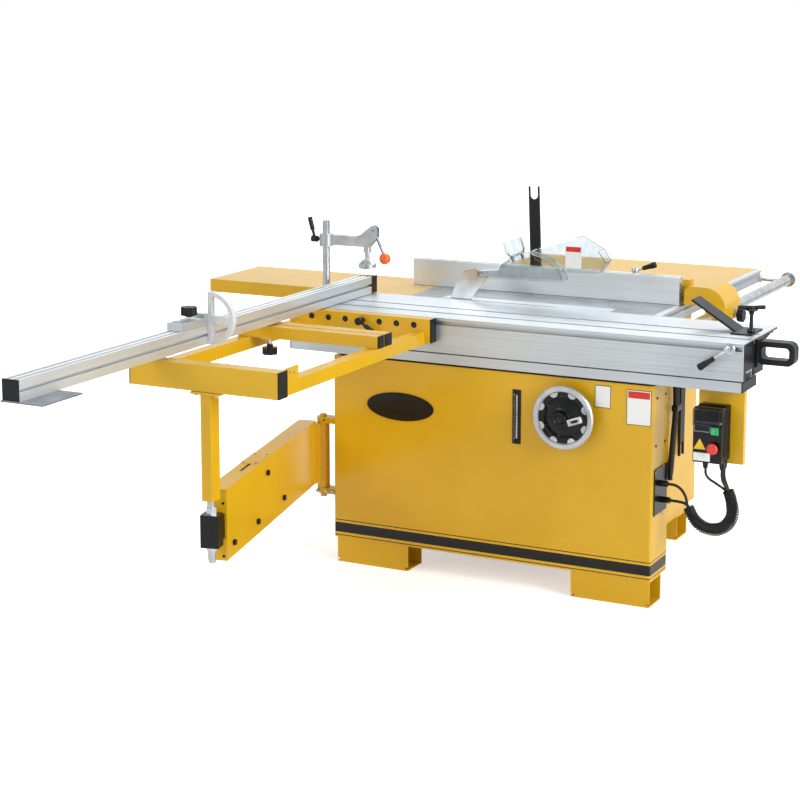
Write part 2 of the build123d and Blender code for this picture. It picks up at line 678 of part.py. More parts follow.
# ---------------------------------------------------------------- rip fence and its guide
def scale_rail():
    x0 = MAIN_RIGHT
    outline = [(x0, TABLE_TOP - RAIL_H), (RAIL_X1, TABLE_TOP - RAIL_H), (RAIL_X1, TABLE_TOP), (x0, TABLE_TOP)]
    rail = along_y(outline, MAIN_FRONT, RAIL_BACK)
    rail -= along_y([(x0 + 4, TABLE_TOP - RAIL_H + 4), (RAIL_X1 - 12, TABLE_TOP - RAIL_H + 4),
                     (RAIL_X1 - 12, TABLE_TOP - 4), (x0 + 4, TABLE_TOP - 4)], MAIN_FRONT - 1, RAIL_BACK + 1)
    return rail - slab(RAIL_X1 - 6, RAIL_X1 + 1, MAIN_FRONT - 1, RAIL_BACK + 1, TABLE_TOP - 16, TABLE_TOP - 8)


def guide_bar():
    bar = rod((BAR_X, BAR_FRONT, BAR_Z), (BAR_X, RAIL_BACK, BAR_Z), BAR_R)
    bar += rod((BAR_X, RAIL_BACK, BAR_Z), (BAR_X, RAIL_BACK + 12, BAR_Z), BAR_FLANGE_R)
    for y in (BAR_FRONT + 30, (BAR_FRONT + RAIL_BACK) / 2, RAIL_BACK - 30):
        bar += rod((RAIL_X1, y, BAR_Z), (BAR_X, y, BAR_Z), STUD_R)
        bar += rod((RAIL_X1, y, BAR_Z), (RAIL_X1 + 8, y, BAR_Z), STUD_R * 1.8)
    return bar


def fence_carriage():
    """Arched casting that rides on the guide bar, with an arm behind the rip fence."""
    y0 = RIP_FACE + 2
    y1 = y0 + CARRIAGE_L
    low = TABLE_TOP + 4
    outline = [(CARRIAGE_X0, low), (CARRIAGE_X0, CARRIAGE_TOP - ARCH_EDGE), (CARRIAGE_X0 + ARCH_EDGE, CARRIAGE_TOP)]
    for i in range(0, 7):
        a = radians(90 - 15 * i)
        outline.append((CARRIAGE_X1 + ARCH_R * (cos(a) - 1), CARRIAGE_TOP + ARCH_R * (sin(a) - 1)))
    outline += [(CARRIAGE_X1, CARRIAGE_BOTTOM), (BAR_X + 6, CARRIAGE_BOTTOM), (BAR_X + 6, BAR_Z),
                (BAR_X - BAR_R, BAR_Z + 11), (BAR_X - BAR_R - 8, BAR_Z + 11), (BAR_X - BAR_R - 8, low)]
    body = along_y(outline, y0, y1)
    arm_end = LOCK_X - 40
    body += slab(arm_end, CARRIAGE_X0 + 10, RIP_BACK + SLIP, RIP_BACK + FENCE_ARM_T, low, FENCE_ARM_TOP)
    body -= rod((BAR_X, y0 - 1, BAR_Z), (BAR_X, y1 + 1, BAR_Z), BAR_R + RUN_GAP)
    return body - slab(CARRIAGE_X0 + 22, BAR_X + 14, y0 + 12, y1 - 12, low + 14, CARRIAGE_TOP - 16)


def rip_fence():
    """Hollow extrusion with a T-groove along its back and top."""
    x0 = RIP_RIGHT - RIP_L
    y0, y1 = RIP_FACE, RIP_BACK
    fence = slab(x0, RIP_RIGHT, y0, y1, RIP_Z, RIP_Z + RIP_H)
    for z0, z1 in ((RIP_Z + 4, RIP_Z + 40), (RIP_Z + 44, RIP_Z + 74)):
        fence -= slab(x0 - 1, RIP_RIGHT + 1, y0 + 4, y1 - 16, z0, z1)
    for z in (RIP_Z + 22, RIP_Z + 58):
        fence -= slab(x0 - 1, RIP_RIGHT + 1, y1 - 4, y1 + 1, z - 5, z + 5)
        fence -= slab(x0 - 1, RIP_RIGHT + 1, y1 - 12, y1 - 4, z - 10, z + 10)
    return fence - along_x(t_slot(RIP_Z + RIP_H, (y0 + y1) / 2), x0 - 1, RIP_RIGHT + 1)


node("scale_rail", scale_rail())
node("guide_bar", guide_bar())
node("fence_carriage", fence_carriage())
node("rip_fence", rip_fence())
node("fence_lock_lever",
     clamp_lever((LOCK_X, LOCK_Y, FENCE_ARM_TOP + SLIP), (0, 0, 1),
                 (LOCK_X + LOCK_REACH, LOCK_Y, FENCE_ARM_TOP + LOCK_RISE), 6, 13, 20, 9, 5))
node("carriage_knob",
     star_knob((CARRIAGE_X1 + SLIP, 700, 852), (1, 0, 0), 24, 22, 6, 12))


# ---------------------------------------------------------------- crosscut fence
def crosscut_fence():
    x0 = CROSS_X - CROSS_W / 2
    x1 = CROSS_X + CROSS_W / 2
    y0, y1 = CROSS_NEAR, CROSS_FAR
    fence = slab(x0, x1, y0, y1, CROSS_Z, CROSS_TOP)
    for a in (x0 + 15, x1 - 15):
        fence -= slab(a - 4, a + 4, y0 - 1, y1 + 1, CROSS_TOP - 4, CROSS_TOP + 1)
        fence -= slab(a - 8, a + 8, y0 - 1, y1 + 1, CROSS_TOP - 12, CROSS_TOP - 4)
    groove_z = CROSS_Z + 30
    for a, b, c in ((x1 - 4, x1 + 1, x1 - 12), (x0 - 1, x0 + 4, x0 + 4)):
        fence -= slab(a, b, y0 - 1, y1 + 1, groove_z - 4, groove_z + 4)
        fence -= slab(c, c + 8, y0 - 1, y1 + 1, groove_z - 8, groove_z + 8)
    fence -= slab(CROSS_X - 4, CROSS_X + 4, y0 - 1, y1 + 1, CROSS_Z - 1, CROSS_Z + 4)
    fence -= slab(CROSS_X - 9, CROSS_X + 9, y0 - 1, y1 + 1, CROSS_Z + 4, CROSS_Z + 12)
    fence -= slab(CROSS_X - 11, CROSS_X + 11, y0 - 1, y1 + 1, CROSS_Z + 16, CROSS_TOP - 16)
    pin_low = (CROSS_X, SLOT_Y[1], SLIDE_TOP - SLOT_NECK - 4)
    return fence + rod(pin_low, (CROSS_X, SLOT_Y[1], CROSS_Z + 6), 6)


def fence_ends():
    """Caps on both ends, the wedge nose beside the blade and the foot plate at the near end."""
    x0 = CROSS_X - CROSS_W / 2
    x1 = CROSS_X + CROSS_W / 2
    near = slab(x0, x1, CROSS_NEAR - CAP_T, CROSS_NEAR, CROSS_Z, CROSS_TOP)
    nose = along_z([(x0, CROSS_FAR), (x1, CROSS_FAR), (x1, CROSS_FAR + NOSE_L), (x0, CROSS_FAR + 8)],
                   CROSS_Z, CROSS_TOP)
    foot = slab(x0 - 7, x1 + 78, CROSS_NEAR - 4, CROSS_NEAR + 175, CROSS_Z - 5, CROSS_Z)
    return [near, nose, foot]


def stop_carriage():
    x0 = CROSS_X - CROSS_W / 2
    x1 = CROSS_X + CROSS_W / 2
    low = CROSS_TOP + SLIP
    body = slab(x0, x1, STOP_Y - STOP_L, STOP_Y, low, low + STOP_H)
    body += slab(x0, x1, STOP_Y - 18, STOP_Y, low, low + 36)
    body -= slab(x0 + 8, x1 - 8, STOP_Y - STOP_L + 8, STOP_Y - 110, low + 8, low + STOP_H + 1)
    pin = (STOP_PIN_X, STOP_Y + STOP_T + SLIP * 2 + 3, STOP_PIN_Z)
    return body + rod((STOP_PIN_X, STOP_Y - 4, STOP_PIN_Z), pin, STOP_PIN_R)


def flip_stop():
    """D-shaped stop with one spoke, flat side along the fence's face."""
    y0 = STOP_Y + SLIP
    y1 = y0 + STOP_T
    cz = CROSS_Z + STOP_R
    cx = STOP_FLAT + 10
    ring = rod((cx, y0, cz), (cx, y1, cz), STOP_R)
    ring -= rod((cx, y0 - 1, cz), (cx, y1 + 1, cz), STOP_R - STOP_RIM)
    ring -= slab(cx - STOP_R - 1, STOP_FLAT, y0 - 1, y1 + 1, cz - STOP_R - 1, cz + STOP_R + 1)
    inside = rod((cx, y0, cz), (cx, y1, cz), STOP_R - STOP_RIM + 1)
    ring += inside & slab(STOP_FLAT, STOP_FLAT + STOP_RIM, y0, y1, cz - STOP_R, cz + STOP_R)
    spoke_end = cx + STOP_R - STOP_RIM / 2
    ring += slab(STOP_PIN_X, spoke_end, y0, y1, STOP_PIN_Z - 11, STOP_PIN_Z + 11)
    ring += rod((STOP_PIN_X, y0, STOP_PIN_Z), (STOP_PIN_X, y1, STOP_PIN_Z), 14)
    bore = rod((STOP_PIN_X, y0 - 1, STOP_PIN_Z), (STOP_PIN_X, y1 + 1, STOP_PIN_Z), STOP_PIN_R + RUN_GAP)
    return ring - bore


node("crosscut_fence", crosscut_fence())
node("crosscut_fence_ends", *fence_ends())
node("stop_carriage", stop_carriage())
node("stop_knob",
     star_knob((CROSS_X, STOP_Y - 60, CROSS_TOP + SLIP * 2 + STOP_H), (0, 0, 1), 25, 26, 6, STOP_KNOB_STEM))
node("flip_stop", flip_stop())


# ---------------------------------------------------------------- outrigger
def outrigger_frame():
    z0 = OUT_TOP - FRONT_TUBE_H
    back = BEAM_FRONT - CHANNEL_D
    frame = box_tube(OUT_X0, OUT_X1, OUT_FRONT, OUT_FRONT + FRONT_TUBE_D, z0, OUT_TOP, "x")
    for x0 in (OUT_X0, OUT_X1 - SIDE_TUBE_W):
        frame += box_tube(x0, x0 + SIDE_TUBE_W, OUT_FRONT + FRONT_TUBE_D, back,
                          SIDE_TUBE_Z, SIDE_TUBE_Z + SIDE_TUBE_H, "y")
    tab_x = OUT_X1 - 5
    frame += slab(tab_x, OUT_X1, OUT_FRONT + FRONT_TUBE_D, OUT_FRONT + FRONT_TUBE_D + 70,
                  SIDE_TUBE_Z, OUT_TOP + 4)
    frame += box_tube(OUT_X0, OUT_X1 + CHANNEL_OVER, back, BEAM_FRONT, CHANNEL_Z, CHANNEL_Z + CHANNEL_H,
                      "x", CHANNEL_WALL)
    for i in range(HOLE_COUNT):
        x = HOLE_X + HOLE_PITCH * i
        frame -= rod((x, back - 1, HOLE_Z), (x, back + CHANNEL_WALL + 1, HOLE_Z), HOLE_R)
    return frame


def fence_support():
    """Pair of tubes across the outrigger with a guide slot between them."""
    parts = []
    z0 = SIDE_TUBE_Z + SIDE_TUBE_H
    for y0, y1 in (SUPPORT_Y[:2], SUPPORT_Y[2:]):
        parts.append(box_tube(OUT_X0, OUT_X1, y0, y1, z0, SUPPORT_TOP, "x"))
    for x0 in (OUT_X0 + 2, OUT_X1 - 22):
        parts.append(slab(x0, x0 + 20, SUPPORT_Y[1], SUPPORT_Y[2], z0, SUPPORT_TOP - 4))
    return parts


def fence_clamp():
    y = (SUPPORT_Y[1] + SUPPORT_Y[2]) / 2
    z0 = SIDE_TUBE_Z + SIDE_TUBE_H
    knob = star_knob((CLAMP_REST_X, y, z0 - SLIP - 8), (0, 0, -1), 25, 24, 6, 28)
    washer = slab(CLAMP_REST_X - 20, CLAMP_REST_X + 20, y - 24, y + 24, z0 - SLIP - 8, z0 - SLIP)
    stem = rod((CLAMP_REST_X, y, z0 - SLIP - 8), (CLAMP_REST_X, y, SUPPORT_TOP + 4), 4)
    return knob + washer + stem


node("outrigger_frame", outrigger_frame())
node("fence_support", *fence_support())
node("fence_clamp", fence_clamp())
lever_x = HOLE_X + HOLE_PITCH * 3
lever_y = BEAM_FRONT - CHANNEL_WALL - SLIP
node("outrigger_lever",
     clamp_lever((lever_x, lever_y, HOLE_Z), (0, -1, 0), (lever_x + 62, lever_y - 62, 830), 46, 13, 20, 8, 5))


# ---------------------------------------------------------------- hold-down clamp
def arm_point(distance, side=0.0):
    """Place along the hold-down's arm, seen from above."""
    a = radians(REACH_TURN)
    return (COLUMN_X + distance * cos(a) - side * sin(a), SLOT_Y[1] + distance * sin(a) + side * cos(a))


def clamp_column():
    column = rod((COLUMN_X, SLOT_Y[1], SLIDE_TOP), (COLUMN_X, SLOT_Y[1], COLUMN_TOP), COLUMN_R)
    column += rod((COLUMN_X, SLOT_Y[1], SLIDE_TOP), (COLUMN_X, SLOT_Y[1], SLIDE_TOP + 10), 24)
    low = SLIDE_TOP - SLOT_NECK - 4
    return column + rod((COLUMN_X, SLOT_Y[1], low), (COLUMN_X, SLOT_Y[1], SLIDE_TOP + 1), 6)


def clamp_arm():
    """Casting round the column, its head forked for the cam above the screw."""
    at = Plane(origin=(COLUMN_X, SLOT_Y[1], 0), x_dir=(cos(radians(REACH_TURN)), sin(radians(REACH_TURN)), 0),
               z_dir=(0, 0, 1))
    top = ARM_Z + ARM_T
    end = REACH + CAM_X + HEAD_R
    outline = [(0, ARM_Z + 4), (REACH - SCREW_BOSS_R, ARM_Z), (REACH + SCREW_BOSS_R, ARM_Z), (end, top - 4),
               (end, CAM_Z), (REACH + CAM_X - HEAD_R / 2, CAM_Z + HEAD_R * 0.8), (REACH - 4, CAM_Z - 2),
               (REACH - 20, top + 4), (REACH - 38, top - 3), (0, top)]
    arm = along_y(outline, -ARM_HALF, ARM_HALF)
    arm += rod((REACH + CAM_X, -ARM_HALF, CAM_Z), (REACH + CAM_X, ARM_HALF, CAM_Z), HEAD_R)
    arm += rod((0, 0, ARM_Z - 2), (0, 0, top + 2), BOSS_R)
    arm += rod((REACH, 0, ARM_Z - SCREW_BOSS_H), (REACH, 0, ARM_Z + 1), SCREW_BOSS_R)
    arm -= rod((0, 0, ARM_Z - 3), (0, 0, top + 3), COLUMN_R + RUN_GAP)
    arm -= rod((REACH, 0, ARM_Z - SCREW_BOSS_H - 1), (REACH, 0, CAM_Z + 20), CLAMP_SCREW_R + RUN_GAP)
    fork = CAM_R - 1.5
    arm -= slab(REACH + CAM_X / 2, end + 1, -fork, fork, ARM_Z + 10, CAM_Z + HEAD_R + 1)
    pin_x = REACH + CAM_X
    return at * (arm - rod((pin_x, -ARM_HALF - 1, CAM_Z), (pin_x, ARM_HALF + 1, CAM_Z), CAM_PIN_R + RUN_GAP))


def clamp_screw():
    screw = rod((HEAD_X, HEAD_Y, PAD_Z + 12), (HEAD_X, HEAD_Y, CLAMP_SCREW_TOP), CLAMP_SCREW_R)
    pad = turned([(0, 0), (PAD_R - 4, 0), (PAD_R, 4), (PAD_R, 16), (16, 30), (0, 30)], (HEAD_X, HEAD_Y, PAD_Z))
    return screw + pad


def clamp_cam_lever():
    axis = REACH + CAM_X
    a = arm_point(axis, SLIP - (CAM_R - 1.5))
    b = arm_point(axis, CAM_R - 1.5 - SLIP)
    pin_a = arm_point(axis, -ARM_HALF - 1)
    pin_b = arm_point(axis, ARM_HALF + 1)
    start = arm_point(axis)
    ball = arm_point(REACH + BALL_OUT)
    lever = rod((a[0], a[1], CAM_Z), (b[0], b[1], CAM_Z), CAM_R)
    lever += rod((pin_a[0], pin_a[1], CAM_Z), (pin_b[0], pin_b[1], CAM_Z), CAM_PIN_R)
    lever += rod((start[0], start[1], CAM_Z), (ball[0], ball[1], BALL_Z + 4), 5)
    return lever + Pos(ball[0], ball[1], BALL_Z) * Sphere(BALL_R)


node("clamp_column", clamp_column())
node("clamp_arm", clamp_arm())
node("clamp_screw", clamp_screw())
node("clamp_cam_lever", clamp_cam_lever())
node("clamp_arm_lever",
     clamp_lever((COLUMN_X - BOSS_R - SLIP, SLOT_Y[1], ARM_Z + 20), (-1, 0, 0),
                 (COLUMN_X - 66, SLOT_Y[1], ARM_Z + 95), 10, 11, 22, 8, 5))


# ---------------------------------------------------------------- swing arm and support post
def arm_frame():
    """Frame of the swing arm: x along it from the pivot, y towards the cabinet side."""
    return Plane(origin=(PIVOT[0], PIVOT[1], 0), x_dir=(sin(TILT), -cos(TILT), 0), z_dir=(0, 0, 1))


def arm_hinge():
    """Two lugs on the cabinet's side and the pin between them."""
    parts = []
    face = -HALF_CABINET
    for z0 in (BARREL_Z[0] - SLIP - LUG_T, BARREL_Z[1] + SLIP):
        lug = slab(PIVOT[0], face, PIVOT[1] - 22, PIVOT[1] + 22, z0, z0 + LUG_T)
        lug += rod((PIVOT[0], PIVOT[1], z0), (PIVOT[0], PIVOT[1], z0 + LUG_T), 22)
        parts.append(lug)
    low = BARREL_Z[0] - SLIP - LUG_T - 14
    high = BARREL_Z[1] + SLIP + LUG_T + 8
    pin = rod((PIVOT[0], PIVOT[1], low), (PIVOT[0], PIVOT[1], high), PIN_R)
    return parts[0] + parts[1] + pin


def swing_arm():
    y0 = -ARM_SIDE - ARM_W
    y1 = -ARM_SIDE
    arm = slab(ARM_START, ARM_END, y0, y1, ARM_BOTTOM, ARM_TOP)
    arm += slab(ROOT_START, ARM_START + 8, y0 + 12, 0, ARM_BOTTOM, BARREL_Z[1])
    arm += rod((0, 0, BARREL_Z[0]), (0, 0, BARREL_Z[1]), BARREL_R)
    arm -= slab(ARM_START + ARM_WALL, ARM_END - ARM_WALL, y0 + ARM_WALL, y1 - ARM_WALL,
                ARM_BOTTOM + ARM_WALL, ARM_TOP - ARM_WALL)
    half = INNER_W / 2 + SLIP
    arm -= slab(ARM_END - ARM_WALL - 1, ARM_END + 1, -ARM_MID - half, -ARM_MID + half,
                INNER_Z[0] - SLIP, INNER_Z[1] + SLIP)
    arm -= rod((0, 0, BARREL_Z[0] - 1), (0, 0, BARREL_Z[1] + 1), PIN_R + RUN_GAP)
    arm -= slab(620, 760, -ARM_MID - 5, -ARM_MID + 5, ARM_TOP - 5, ARM_TOP + 1)
    return arm_frame() * arm


def arm_extension():
    """Bar that runs out of the arm and holds the post's screw in its nose."""
    nose = POST_REACH + POST_D / 2
    y0 = -ARM_MID - INNER_W / 2
    y1 = -ARM_MID + INNER_W / 2
    bar = slab(nose - INNER_L, nose - 1, y0, y1, INNER_Z[0], INNER_Z[1])
    bar += slab(nose - POST_D, nose, -ARM_MID - NOSE_W / 2, -ARM_MID + NOSE_W / 2, NOSE_Z[0], NOSE_Z[1])
    bar -= slab(nose - INNER_L - 1, nose - POST_D, y0 + 5, y1 - 5, INNER_Z[0] + 5, INNER_Z[1] - 5)
    bar -= rod((POST_REACH, -ARM_MID, NOSE_Z[0] - 1), (POST_REACH, -ARM_MID, NOSE_Z[1] + 1),
               SCREW_R + RUN_GAP)
    return arm_frame() * bar


def support_post():
    x0 = POST_X - POST_W / 2
    y0 = POST_Y - POST_D / 2
    top = POST_TOP - FLANGE_T
    post = slab(x0, x0 + POST_W, y0, y0 + POST_D, POST_BOTTOM, top)
    post -= slab(x0 + 4, x0 + POST_W - 4, y0 + 4, y0 + POST_D - 4, POST_BOTTOM + 10, top + 1)
    post += slab(POST_X - FLANGE_W / 2, POST_X + FLANGE_W / 2, POST_Y - 30, POST_Y + 30, top, POST_TOP)
    return post


def support_screw():
    screw = rod((POST_X, POST_Y, SCREW_BOTTOM), (POST_X, POST_Y, POST_BOTTOM), SCREW_R)
    for z0, z1 in ((NOSE_Z[1] + SLIP, NOSE_Z[1] + SLIP + 21), (NOSE_Z[0] - SLIP - 11, NOSE_Z[0] - SLIP)):
        nut = extrude(Plane((POST_X, POST_Y, z0)) * RegularPolygon(NUT_R, 6), z1 - z0)
        screw += nut
    return screw


node("arm_hinge", arm_hinge())
node("swing_arm", swing_arm())
node("arm_extension", arm_extension())
node("support_post", support_post())
node("support_screw", support_screw())


# ---------------------------------------------------------------- blade, lift and drive
def trunnion():
    """Guide columns that hang from the main table, with a tie at their feet."""
    parts = slab(GUIDE_X[0] - 25, GUIDE_X[1] + 25, GUIDE_Y - 20, GUIDE_Y + 20, GUIDE_BOTTOM, GUIDE_BOTTOM + 12)
    for x in GUIDE_X:
        parts += rod((x, GUIDE_Y, GUIDE_BOTTOM), (x, GUIDE_Y, TABLE_TOP - PLATE_T), GUIDE_R)
        parts += slab(x - 25, x + 25, GUIDE_Y - 20, GUIDE_Y + 20, UNDER_TABLE, TABLE_TOP - PLATE_T)
    return parts


def blade_carriage():
    y0 = LIFT_PLATE_Y
    y1 = y0 + LIFT_PLATE_T
    left = GUIDE_X[0] - 35
    low = BLADE_Z - 150
    outline = [(left, low), (left, BLADE_Z - 5), (BLADE_X - 50, BLADE_Z + 50), (BLADE_X + 50, BLADE_Z + 50),
               (MOTOR_X + 75, MOTOR_Z + 90), (MOTOR_X + 75, MOTOR_Z - 72), (MOTOR_X - 75, MOTOR_Z - 72),
               (GUIDE_X[1] + 15, low)]
    plate = along_y(outline, y0, y1)
    plate += rod((BLADE_X, HOUSING_Y[0], BLADE_Z), (BLADE_X, HOUSING_Y[1], BLADE_Z), HOUSING_R)
    for x in GUIDE_X:
        plate += rod((x, GUIDE_Y, BUSH_Z[0]), (x, GUIDE_Y, BUSH_Z[1]), BUSH_R)
        plate += slab(x - 14, x + 14, y1 - 1, GUIDE_Y - GUIDE_R - 2, *BUSH_Z)
    plate -= rod((BLADE_X, HOUSING_Y[0] - 1, BLADE_Z), (BLADE_X, HOUSING_Y[1] + 1, BLADE_Z), ARBOR_R + RUN_GAP)
    plate -= rod((MOTOR_X, y0 - 1, MOTOR_Z), (MOTOR_X, y1 + 1, MOTOR_Z), 20)
    for x in GUIDE_X:
        plate -= rod((x, GUIDE_Y, BUSH_Z[0] - 1), (x, GUIDE_Y, BUSH_Z[1] + 1), GUIDE_R + RUN_GAP)
    return plate


def saw_blade():
    """Blade between its flanges on the arbor, with the arbor's pulley."""
    at = (BLADE_X, BLADE_Y + BLADE_T / 2, BLADE_Z)
    back = PULLEY_Y + PULLEY_W - (BLADE_Y + BLADE_T / 2)
    outline = [(0, -28), (9, -28), (9, -16), (14, -16), (14, -9), (30, -9), (30, -BLADE_T),
               (BLADE_R, -BLADE_T), (BLADE_R, 0), (30, 0), (30, 6), (ARBOR_R, 6),
               (ARBOR_R, back - PULLEY_W), (PULLEY_R, back - PULLEY_W), (PULLEY_R, back), (0, back)]
    return turned(outline, at, (0, 1, 0))


def riving_knife():
    outline = [(-309, 828), (-309, 890), (-298, 922), (-281, 958), (-258, 990), (-219, 1000), (-170, 988),
               (-164, 972), (-186, 949), (-208, 925), (-222, 905), (-229, 891), (-237, 862), (-241, 828)]
    knife = along_y(outline, BLADE_Y - KNIFE_T / 2, BLADE_Y + KNIFE_T / 2)
    foot = slab(-300, -244, BLADE_Y - KNIFE_T / 2, GUIDE_Y, 780, 830)
    arm = slab(-300, GUIDE_X[0] - 25, GUIDE_Y - 14, GUIDE_Y, UNDER_TABLE, TABLE_TOP - PLATE_T)
    link = slab(-300, -244, GUIDE_Y - 14, GUIDE_Y, 780, TABLE_TOP - PLATE_T)
    sx, sz = KNIFE_SCREW
    hole = rod((sx, BLADE_Y - 5, sz), (sx, BLADE_Y + 5, sz), 4 + RUN_GAP)
    return knife - hole + foot + arm + link


def motor():
    y1 = LIFT_PLATE_Y
    y0 = y1 - MOTOR_L
    outline = [(0, 0), (MOTOR_R - 10, 0), (MOTOR_R, 10), (MOTOR_R, MOTOR_L - 12), (MOTOR_R + 10, MOTOR_L - 12),
               (MOTOR_R + 10, MOTOR_L), (0, MOTOR_L)]
    body = turned(outline, (MOTOR_X, y0, MOTOR_Z), (0, 1, 0))
    body += slab(MOTOR_X - 35, MOTOR_X + 35, y0 + 40, y0 + 130, MOTOR_Z + MOTOR_R - 8, MOTOR_Z + MOTOR_R + 22)
    return body - rod((MOTOR_X, y1 - 60, MOTOR_Z), (MOTOR_X, y1 + 1, MOTOR_Z), 10 + RUN_GAP)


def motor_pulley():
    outline = [(0, 0), (10, 0), (10, PULLEY_Y - 340), (PULLEY_R, PULLEY_Y - 340),
               (PULLEY_R, PULLEY_Y - 340 + PULLEY_W), (0, PULLEY_Y - 340 + PULLEY_W)]
    return turned(outline, (MOTOR_X, 340, MOTOR_Z), (0, 1, 0))


def drive_belt():
    way = Vector(MOTOR_X - BLADE_X, 0, MOTOR_Z - BLADE_Z)
    plane = Plane(origin=((MOTOR_X + BLADE_X) / 2, PULLEY_Y + 3, (MOTOR_Z + BLADE_Z) / 2),
                  x_dir=way, z_dir=(0, 1, 0))
    inner = SlotCenterToCenter(way.length, 2 * (PULLEY_R + BELT_GAP))
    outer = SlotCenterToCenter(way.length, 2 * (PULLEY_R + BELT_GAP + BELT_T))
    return extrude(plane * (outer - inner), PULLEY_W - 6, dir=(0, 1, 0))


def wheel_at(height=0.0):
    """Place on the handwheel's axis, so far in front of the middle of its rim."""
    return (WHEEL_X, WHEEL_Y - height, WHEEL_Z)


def handwheel():
    """Bevelled rim with round grips inside it."""
    inner = WHEEL_R - RIM_W
    half = RIM_T / 2
    outline = [(inner, -half), (WHEEL_R - RIM_EDGE, -half), (WHEEL_R, RIM_EDGE - half), (WHEEL_R, half - RIM_EDGE),
               (WHEEL_R - RIM_EDGE, half), (inner + RIM_EDGE, half), (inner, half - RIM_EDGE)]
    wheel = turned(outline, wheel_at(), (0, -1, 0))
    low = (Align.CENTER, Align.CENTER, Align.MIN)
    seat = DISH_T - half
    for i in range(GRIP_COUNT):
        turn = 360 / GRIP_COUNT * (i + 0.5)
        grip = Rot(0, 0, turn) * (Pos(inner, 0, seat) * Cylinder(GRIP_R, GRIP_T, align=low))
        wheel += Plane(origin=wheel_at(), z_dir=(0, -1, 0)) * grip
    wheel -= turned([(inner + RIM_W / 2, -half - 1), (inner + RIM_W / 2, seat), (0, seat), (0, -half - 1)],
                    wheel_at(), (0, -1, 0))
    return wheel


def handwheel_dish():
    """Dished web with its hub, and the shaft that runs through the front panel."""
    low = -RIM_T / 2
    seat = low + DISH_T
    edge = WHEEL_R - RIM_W / 2 - JOINT_GAP
    neck = WHEEL_R - RIM_W - GRIP_R - 2
    outline = [(0, low), (edge, low), (edge, seat), (neck, seat), (DISH_FOOT_R, DISH_FOOT_H), (HUB_R, DISH_FOOT_H + 4),
               (HUB_TOP_R, HUB_H), (HUB_TOP_R - 8, HUB_H), (HUB_TOP_R - 12, HUB_H - 5), (0, HUB_H - 5)]
    dish = turned(outline, wheel_at(), (0, -1, 0))
    return dish + rod(wheel_at(low + 1), (WHEEL_X, WHEEL_SHAFT_END, WHEEL_Z), WHEEL_SHAFT_R)


def handwheel_crank():
    y = WHEEL_Y - HUB_H - 16
    z = WHEEL_Z - CRANK_DROP
    end = WHEEL_X + CRANK_IN + CRANK_L
    ear_x = end + CRANK_R - 2
    grip = rod((WHEEL_X + CRANK_IN, y, z), (end, y, z), CRANK_R)
    ear = rod((ear_x, y, z - CRANK_R), (ear_x, y, z + CRANK_R), CRANK_R)
    link = rod((end - 6, y, z), (ear_x, y, z), 5)
    return grip + ear + link


node("trunnion", trunnion())
node("blade_carriage", blade_carriage())
node("saw_blade", saw_blade())
node("riving_knife", riving_knife())
node("motor", motor())
node("motor_pulley", motor_pulley())
node("drive_belt", drive_belt())
node("handwheel", handwheel(), handwheel_dish())
node("handwheel_crank", handwheel_crank())


# ---------------------------------------------------------------- blade guard
def guard_shell(outline, open_box):
    """Thin clear shell round an outline, open inside the given box."""
    half = GUARD_W / 2
    face = make_face(Polyline(*[(x, z) for x, z in outline], close=True))
    on = Plane(origin=(0, BLADE_Y + half, 0), x_dir=(1, 0, 0), z_dir=(0, -1, 0))
    outer = extrude(on * face, GUARD_W, dir=(0, -1, 0))
    inside = Plane(origin=(0, BLADE_Y + half - GUARD_WALL, 0), x_dir=(1, 0, 0), z_dir=(0, -1, 0))
    inner = extrude(inside * offset(face, -GUARD_WALL), GUARD_W - 2 * GUARD_WALL, dir=(0, -1, 0))
    x0, x1, z0, z1 = open_box
    mouth = slab(x0, x1, BLADE_Y - half + GUARD_WALL, BLADE_Y + half - GUARD_WALL, z0, z1)
    return outer - inner - mouth


def guard_hood():
    hood = guard_shell(HOOD_OUTLINE, HOOD_MOUTH)
    sx, sz = KNIFE_SCREW
    hood -= slab(sx - 16, sx + 34, BLADE_Y - KNIFE_T, BLADE_Y + KNIFE_T, sz - 12, sz + 18)
    lean = radians(PORT_TILT)
    up = (-sin(lean), 0, cos(lean))
    foot = (PORT_AT[0] - 6 * up[0], BLADE_Y, PORT_AT[1] - 6 * up[2])
    port = turned([(20, 0), (24, 0), (24, 18), (PORT_R, PORT_L - 6), (PORT_R, PORT_L + 36),
                   (PORT_R - 3, PORT_L + 36), (PORT_R - 3, PORT_L - 6), (21, 18), (20, 18)], foot, up)
    bore_top = (foot[0] + up[0] * 30, BLADE_Y, foot[2] + up[2] * 30)
    hood = hood + port - rod(foot, bore_top, 20)
    screw = rod((sx, BLADE_Y - GUARD_W / 2 - 3, sz), (sx, BLADE_Y + GUARD_W / 2 + 3, sz), 4)
    return hood + screw


def guard_visor():
    """Front part that tips up, straddling the hood."""
    half = GUARD_W / 2 + SLIP + GUARD_WALL
    face = make_face(Polyline(*VISOR_OUTLINE, close=True))
    on = Plane(origin=(0, BLADE_Y + half, 0), x_dir=(1, 0, 0), z_dir=(0, -1, 0))
    shell = extrude(on * face, 2 * half, dir=(0, -1, 0))
    inside = Plane(origin=(0, BLADE_Y + half - GUARD_WALL, 0), x_dir=(1, 0, 0), z_dir=(0, -1, 0))
    hollow = extrude(inside * offset(face, -GUARD_WALL), 2 * (half - GUARD_WALL), dir=(0, -1, 0))
    mouth = along_y(VISOR_MOUTH, BLADE_Y - half + GUARD_WALL, BLADE_Y + half - GUARD_WALL)
    px, pz = VISOR_PIN
    pin = rod((px, BLADE_Y - half, pz), (px, BLADE_Y + half, pz), 4)
    return shell - hollow - mouth + pin


node("guard_hood", guard_hood(), guard_visor())


